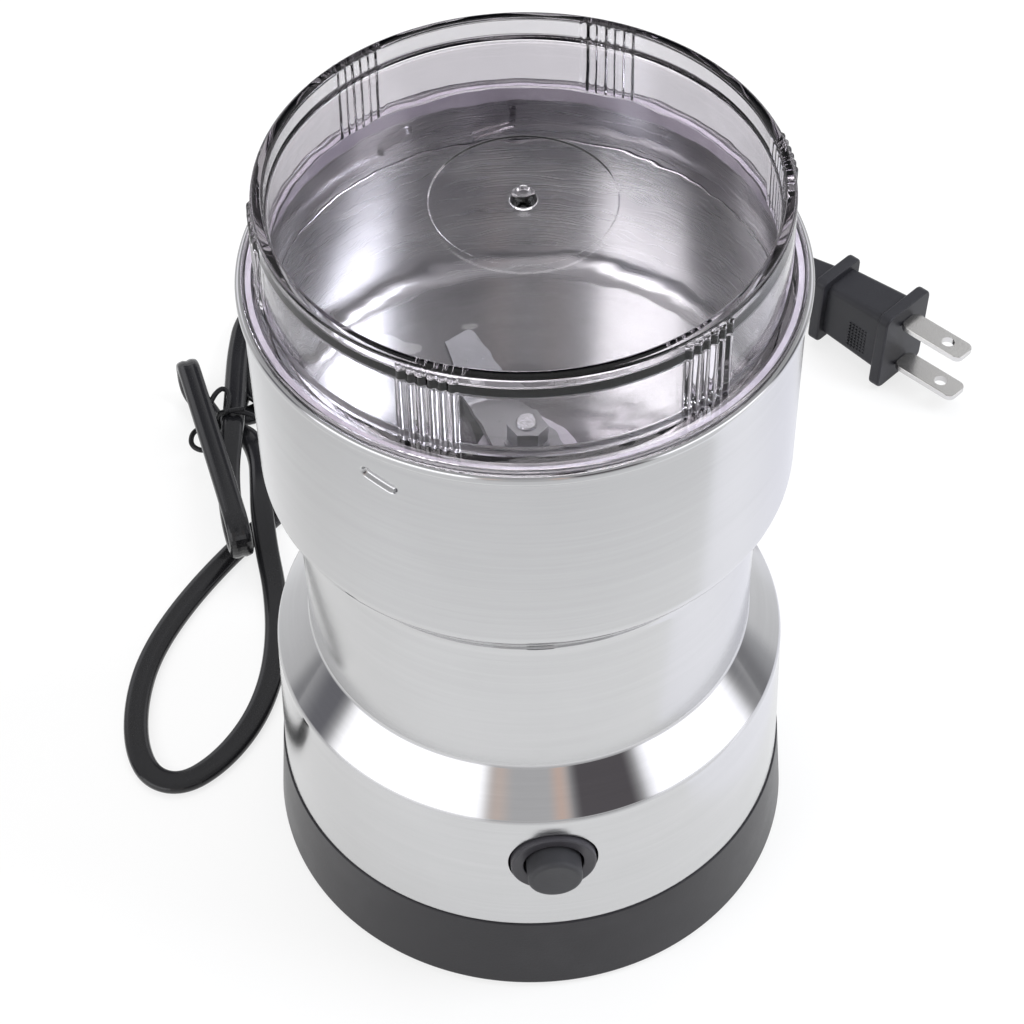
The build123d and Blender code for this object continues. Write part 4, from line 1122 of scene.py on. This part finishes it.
def lead_section(bm):
    """The section of the flat twin lead: rounded ends, and a shallow groove along each wide side."""
    made = bmesh.ops.create_circle(bm, cap_ends=True, radius=1.0, segments=24)["verts"]
    width, half = CORD_WIDTH / 2 * MM, CORD_THICKNESS / 2 * MM
    core = width - half
    for vert in made:
        turn = atan2(vert.co.y, vert.co.x)
        x = half * cos(turn) + core * max(-1.0, min(1.0, cos(turn) * 1.6))
        y = half * sin(turn)
        groove = 0.3 * MM * (1 - smoothstep(0.0, 0.8 * MM, abs(x))) * (abs(sin(turn)) > 0.3)
        y -= groove if y > 0 else -groove
        vert.co = Vector((x, y, 0))


def sweep(bm, frames):
    """Draws the mesh's one face along the frames into a solid with closed ends, in millimetres."""
    bmesh.ops.transform(bm, matrix=frames[0], verts=bm.verts)
    face = bm.faces[:][0]
    before = frames[0]
    for after in frames[1:]:
        made = bmesh.ops.extrude_face_region(bm, geom=[face])["geom"]
        face = next(item for item in made if isinstance(item, bmesh.types.BMFace))
        bmesh.ops.transform(bm, matrix=after @ before.inverted(), verts=face.verts)
        before = after
    bmesh.ops.scale(bm, vec=(1 / MM,) * 3, verts=bm.verts)


class GRINDER_OT_cord(bpy.types.Operator):
    """Lays the flat lead: out of the relief, round the loop, through the tie, the hank and on to the plug"""

    bl_idname = "grinder.cord"
    bl_label = "Power cord"

    def execute(self, context):
        path = read_path("cord_line", ROUTE)
        bm = bmesh.new()
        lead_section(bm)
        sweep(bm, lead_frames(path))
        colour = tint(context.scene.grinder_colours.cord, 1.15)
        sheath = moulded("cord_sheath", colour, rough=0.27, grain=1500.0, depth=0.00002, coat=0.45)
        nodes = ["cord_lead", "cord_coil", "cord_tail"]
        cord = piece(bm, "power_cord", "housing", sheath, nodes, CORD_SHARP)
        return {"FINISHED"}


class GRINDER_OT_plug(bpy.types.Operator):
    """Shapes the moulded plug with its two flanges, grip, boot and flat blades"""

    bl_idname = "grinder.plug"
    bl_label = "Plug"

    def execute(self, context):
        colours = context.scene.grinder_colours
        bm = bmesh.new()
        for size, corner, rim, along, taper in PLUG_BLOCKS:
            block(bm, size, corner, rim, plug_frame(along), taper)
        grip = plug_frame(PLUG_BLOCKS[2][3])
        for side in (1, -1):
            for row in range(DOT_ROWS):
                for column in range(DOT_COLUMNS):
                    y = DOT_START[1] + DOT_PITCH * column
                    z = DOT_START[2] + DOT_PITCH * row
                    block(bm, DOT_SIZE, 0.0, 0.0, grip @ Matrix.Translation((side * DOT_START[0], y, z)))
        plastic = moulded("plug_plastic", colours.plug, rough=0.4, grain=2000.0, depth=0.00004)
        piece(bm, "moulded_plug", "housing", plastic, ["plug_body"])

        bm = bmesh.new()
        turn = Matrix.Rotation(radians(90), 4, "X")
        for side in (1, -1):
            place = plug_frame(PIN_SIZE[1] / 2) @ Matrix.Translation((0, side * PIN_OFFSET, 0))
            block(bm, PIN_SIZE, 1.8, 0.2, place @ turn)
        nickel = worn_metal("pin_nickel", colours.pins, rough=0.24, grain=2400.0)
        pins = piece(bm, "plug_pins", "housing", nickel, ["plug_blades"])
        cut(pins, drill(PIN_HOLE, -12, 40, plug_frame(12.0) @ turn))
        return {"FINISHED"}


class GRINDER_OT_tie(bpy.types.Operator):
    """Winds the wire tie round the lead's strands, with a loop at each end"""

    bl_idname = "grinder.tie"
    bl_label = "Wire tie"

    def execute(self, context):
        bm = bmesh.new()
        for points in (TIE_RING, *TIE_ENDS):
            wire = bmesh.new()
            bmesh.ops.create_circle(wire, cap_ends=True, radius=TIE_RADIUS * MM, segments=12)
            sweep(wire, lead_frames(read_path("tie_line", points)))
            add_to(bm, wire)
        colour = tint(context.scene.grinder_colours.cord, 1.1)
        finish = moulded("tie_plastic", colour, rough=0.3, grain=1800.0)
        piece(bm, "wire_tie", "housing", finish, ["twist_tie"])
        return {"FINISHED"}


class GRINDER_OT_inner(bpy.types.Operator):
    """Gives every carried-over part, inside and underneath, the finish that it has"""

    bl_idname = "grinder.inner"
    bl_label = "Inner parts"

    def execute(self, context):
        colours = context.scene.grinder_colours
        zinc = worn_metal("zinc_plate", (0.55, 0.55, 0.52), 0.32, 1500.0)
        ground = worn_metal("ground_blade", (0.24, 0.24, 0.25), 0.30, 2200.0)
        shaft = worn_metal("turned_shaft", (0.58, 0.58, 0.6), 0.2, 2600.0)
        bronze = worn_metal("sintered_bearing", (0.52, 0.38, 0.22), 0.45, 2400.0)
        brass = worn_metal("brass_strip", (0.72, 0.53, 0.24), 0.3, 1700.0)
        diecast = worn_metal("bracket_casting", (0.5, 0.5, 0.52), 0.42, 1200.0)
        laminated = layered("laminated_core", (0.17, 0.17, 0.19), (0.30, 0.30, 0.32), 0.0005, 1.0, 0.42)
        windings = layered("enamelled_wire", (0.42, 0.15, 0.05), (0.80, 0.40, 0.17), 0.00045, 0.85, 0.24)
        copper = layered("commutator_bars", (0.60, 0.30, 0.14), (0.82, 0.46, 0.26), 0.0011, 1.0, 0.26)
        black = moulded("inner_plastic", tint(colours.base, 0.9), 0.45, 1900.0)
        rubber = moulded("foot_rubber", (0.03, 0.03, 0.032), 0.62, 1300.0, 0.00008)
        fibre = moulded("brush_holder_board", (0.20, 0.13, 0.08), 0.5, 1500.0)
        carbon = moulded("brush_carbon", (0.035, 0.035, 0.037), 0.6, 2600.0)
        pale = moulded("fan_nylon", (0.62, 0.62, 0.59), 0.42, 1700.0)
        soft = moulded("seal_silicone", (0.46, 0.44, 0.48), 0.42, 1100.0, 0.00002, coat=0.2)
        sheath = moulded("inner_sheath", colours.cord, 0.4, 1500.0)
        finishes = {
            zinc: "cup_studs cup_nuts mounting_plate tie_rods tie_nuts "
            "motor_screws mount_screws base_screws clamp_screws",
            ground: "blade blade_hub blade_washer blade_nut",
            shaft: "motor_shaft",
            bronze: "upper_bearing lower_bearing",
            brass: "switch_terminals",
            diecast: "upper_bracket lower_bracket",
            laminated: "stator_core rotor_core",
            windings: "field_coils rotor_windings",
            copper: "commutator",
            black: "switch_body cord_grommet cord_clamp base_plate strain_relief",
            rubber: "rubber_feet motor_mounts",
            fibre: "brush_holders",
            carbon: "carbon_brushes",
            pale: "cooling_fan",
            soft: "lid_seal shaft_seal",
            sheath: "inner_cord",
        }
        for finish, names in finishes.items():
            for name in names.split():
                for slot in bpy.data.objects[name].material_slots:
                    slot.material = finish.material
        return {"FINISHED"}


# ---------------------------------------------------------------- studio

# Lit and dark patches of the room that the steel mirrors: azimuths left and right of the camera's side, how
# softly they end, from where to where they reach as the sine of the elevation, and the colour.
FRONT_PATCHES = (
    (-80, -18, 5, 0.02, 0.62, (1.9, 1.9, 1.95)),
    (46, 92, 5, 0.02, 0.55, (1.9, 1.9, 2.0)),
    (16, 42, 4, 0.1, 0.7, (0.13, 0.12, 0.13)),
    (9, 14, 3, 0.2, 0.7, (0.80, 0.62, 0.54)),
    (-16, -10, 4, 0.2, 0.7, (0.80, 0.68, 0.62)),
)
SIDE_PATCHES = (
    (-106, -84, 4, 0.0, 0.5, (0.20, 0.20, 0.22)),
    (96, 116, 4, 0.0, 0.5, (0.18, 0.18, 0.20)),
)
# Name, place, size, power and colour
LAMPS = (
    ("lamp_left", (-0.80, -0.55, 0.95), (0.7, 0.7), 7.0, (1.0, 1.0, 1.0)),
    ("lamp_right", (0.68, -0.02, 0.78), (0.45, 0.5), 7.0, (0.90, 0.94, 1.0)),
    ("lamp_top", (0.0, 0.45, 1.2), (0.9, 0.7), 7.0, (1.0, 1.0, 1.0)),
)
CAMERA_PLACE = (0.0, -0.3331, 0.4651)
CAMERA_LENS = 92.9
CAMERA_TURNS = (("Z", 0.51), ("X", 41.23), ("Z", -1.11))


class GRINDER_OT_stage(bpy.types.Operator):
    """Sets up the pale floor, the soft studio lamps, the world and the camera"""

    bl_idname = "grinder.stage"
    bl_label = "Studio"

    def execute(self, context):
        bm = bmesh.new()
        bmesh.ops.create_grid(bm, x_segments=8, y_segments=8, size=6.0)
        mesh = mesh_of(bm, "floor")
        floor = put("floor", mesh)
        paper = Finish("floor_paper")
        grain = paper.noise(paper.place(), 6.0, 2.0, 0.5)
        speckled = paper.mix(grain, (0.80,) * 3, (0.82,) * 3)
        matt = paper.node("ShaderNodeBsdfDiffuse", None, {"Color": speckled})
        across, deep, _ = paper.split(paper.place())
        away = (across * across + deep * deep).maths("SQRT")
        # Only mirror rays see this painted pattern on the glowing floor. Painted shade dims it away from the
        # grinder, and a bright window pane beside it is a painted reflection that the steel shows.
        mirrored = paper.node("ShaderNodeLightPath", out="Is Glossy Ray")
        painted_dimming = paper.step(away, 0.085, 0.20) * mirrored
        paper_light = paper.mix(painted_dimming, (1.0, 1.0, 1.0), (0.60, 0.60, 0.61))
        painted_sill = paper.step(deep, -0.054, -0.050) * (1.0 - paper.step(deep, 0.08, 0.14))
        painted_window = painted_sill * paper.step(across, 0.066, 0.070) * mirrored
        painted_pane = paper.mix(paper.step(deep, -0.02, 0.08), (1.12, 1.12, 1.20), (0.90, 0.90, 1.02))
        paper_light = paper.mix(painted_window, paper_light, painted_pane)
        glow = paper.node("ShaderNodeEmission", None, {"Color": paper_light, "Strength": 1.0})
        direct = paper.node("ShaderNodeLightPath", out="Is Camera Ray")
        lit = seen_rays(paper) * 0.62 + direct * 0.14
        both = paper.node("ShaderNodeMixShader", None, {0: lit, 1: matt, 2: glow})
        gloss_sockets = {"Color": (0.9, 0.9, 0.9, 1), "Roughness": 0.06}
        gloss = paper.node("ShaderNodeBsdfAnisotropic", None, gloss_sockets)
        sheen = paper.node("ShaderNodeFresnel", None, {"IOR": 1.45}) * mirrored
        coated = paper.node("ShaderNodeMixShader", None, {0: sheen, 1: both, 2: gloss})
        paper.node("ShaderNodeOutputMaterial", None, {"Surface": coated})
        mesh.materials.append(paper.material)

        world = bpy.data.worlds.new("studio")
        context.scene.world = world
        room = Finish("studio", world)
        plain = room.node("ShaderNodeBackground", None, {"Color": (1.0, 1.0, 1.0, 1), "Strength": 0.62})
        east, north, up = room.split(room.node("ShaderNodeTexCoord", out="Generated"))
        azimuth = east.maths("ARCTAN2", 0.0 - north) * degrees(1)

        def between(value, low, high, soft):
            """1 between the two values, falling to 0 over soft on either side of each."""
            above = room.step(value, low - soft, low + soft)
            return above * (1.0 - room.step(value, high - soft, high + soft))

        behind = 180.0 - azimuth.maths("ABSOLUTE")
        high = between(up, 0.35, 0.67, 0.05)
        shade = room.mix(room.step(up, 0.1, 0.95), (0.66, 0.66, 0.67), (0.50, 0.50, 0.51))
        for left, right, soft, low, top, colour in FRONT_PATCHES:
            shade = room.mix(between(azimuth, left, right, soft) * between(up, low, top, 0.06), shade, colour)
        beside = room.step(behind, 14, 20) * (1.0 - room.step(behind, 44, 56))
        shade = room.mix(beside * high, shade, (1.15, 1.15, 1.2))
        shade = room.mix((1.0 - room.step(behind, 9, 16)) * high, shade, (0.05, 0.05, 0.07))
        for left, right, soft, low, top, colour in SIDE_PATCHES:
            shade = room.mix(between(azimuth, left, right, soft) * between(up, low, top, 0.06), shade, colour)
        bounces = room.node("ShaderNodeLightPath", out="Glossy Depth")
        tinted = room.mix(bounces.maths("MINIMUM", 1.0), (1.0, 1.0, 1.0), shade)
        white = room.node("ShaderNodeBackground", None, {"Color": tinted, "Strength": 1.0})
        both = room.node("ShaderNodeMixShader", None, {0: seen_rays(room), 1: plain, 2: white})
        room.node("ShaderNodeOutputWorld", None, {"Surface": both})

        for name, place, size, power, colour in LAMPS:
            light = bpy.data.lights.new(name, "AREA")
            light.shape = "RECTANGLE"
            light.size, light.size_y = size
            light.energy = power
            light.color = colour
            lamp = put(name, light)
            lamp.location = place
            aim = Vector((0, 0, 0.08)) - Vector(place)
            lamp.rotation_euler = aim.to_track_quat("-Z", "Y").to_euler()
            lamp.visible_glossy = False

        lens = bpy.data.cameras.new("camera")
        lens.lens = CAMERA_LENS
        lens.sensor_width = 36.0
        lens.clip_start = 0.01
        lens.clip_end = 30.0
        camera = put("camera", lens)
        stand = Matrix.Translation(CAMERA_PLACE)
        for axis, angle in CAMERA_TURNS:
            stand = stand @ Matrix.Rotation(radians(angle), 4, axis)
        camera.matrix_world = stand
        context.scene.camera = camera
        context.scene.view_settings.view_transform = "Standard"
        return {"FINISHED"}


def seen_rays(finish):
    """1 for the rays that show the background: camera, mirror and clear-plastic rays."""
    paths = finish.node("ShaderNodeLightPath").socket.node
    names = ("Is Camera Ray", "Is Glossy Ray", "Is Transmission Ray")
    camera, glossy, through = (Wire(finish, paths.outputs[name]) for name in names)
    return (camera + glossy + through).maths("MINIMUM", 1.0)


class GRINDER_PT_panel(bpy.types.Panel):
    """Sizes, colours and pieces of the grinder"""

    bl_label = "Spice grinder"
    bl_idname = "GRINDER_PT_panel"
    bl_space_type = "VIEW_3D"
    bl_region_type = "UI"
    bl_category = "Grinder"

    def draw(self, context):
        for group in (context.scene.grinder_sizes, context.scene.grinder_colours):
            box = self.layout.box()
            for name in group.__annotations__:
                box.prop(group, name)
        for maker in MAKERS:
            self.layout.operator(maker.bl_idname)


MAKERS = (
    GRINDER_OT_stage,
    GRINDER_OT_cup,
    GRINDER_OT_housing,
    GRINDER_OT_base,
    GRINDER_OT_lid,
    GRINDER_OT_button,
    GRINDER_OT_plug,
    GRINDER_OT_tie,
    GRINDER_OT_cord,
    GRINDER_OT_inner,
)
CLASSES = (GrinderSizes, GrinderColours, *MAKERS, GRINDER_PT_panel)


def register():
    for item in CLASSES:
        bpy.utils.register_class(item)
    bpy.types.Scene.grinder_sizes = bpy.props.PointerProperty(type=GrinderSizes)
    bpy.types.Scene.grinder_colours = bpy.props.PointerProperty(type=GrinderColours)


def unregister():
    del bpy.types.Scene.grinder_colours
    del bpy.types.Scene.grinder_sizes
    for item in reversed(CLASSES):
        bpy.utils.unregister_class(item)


def main():
    register()
    for maker in MAKERS:
        getattr(bpy.ops.grinder, maker.bl_idname.split(".")[1])()


if __name__ == "__main__":
    main()
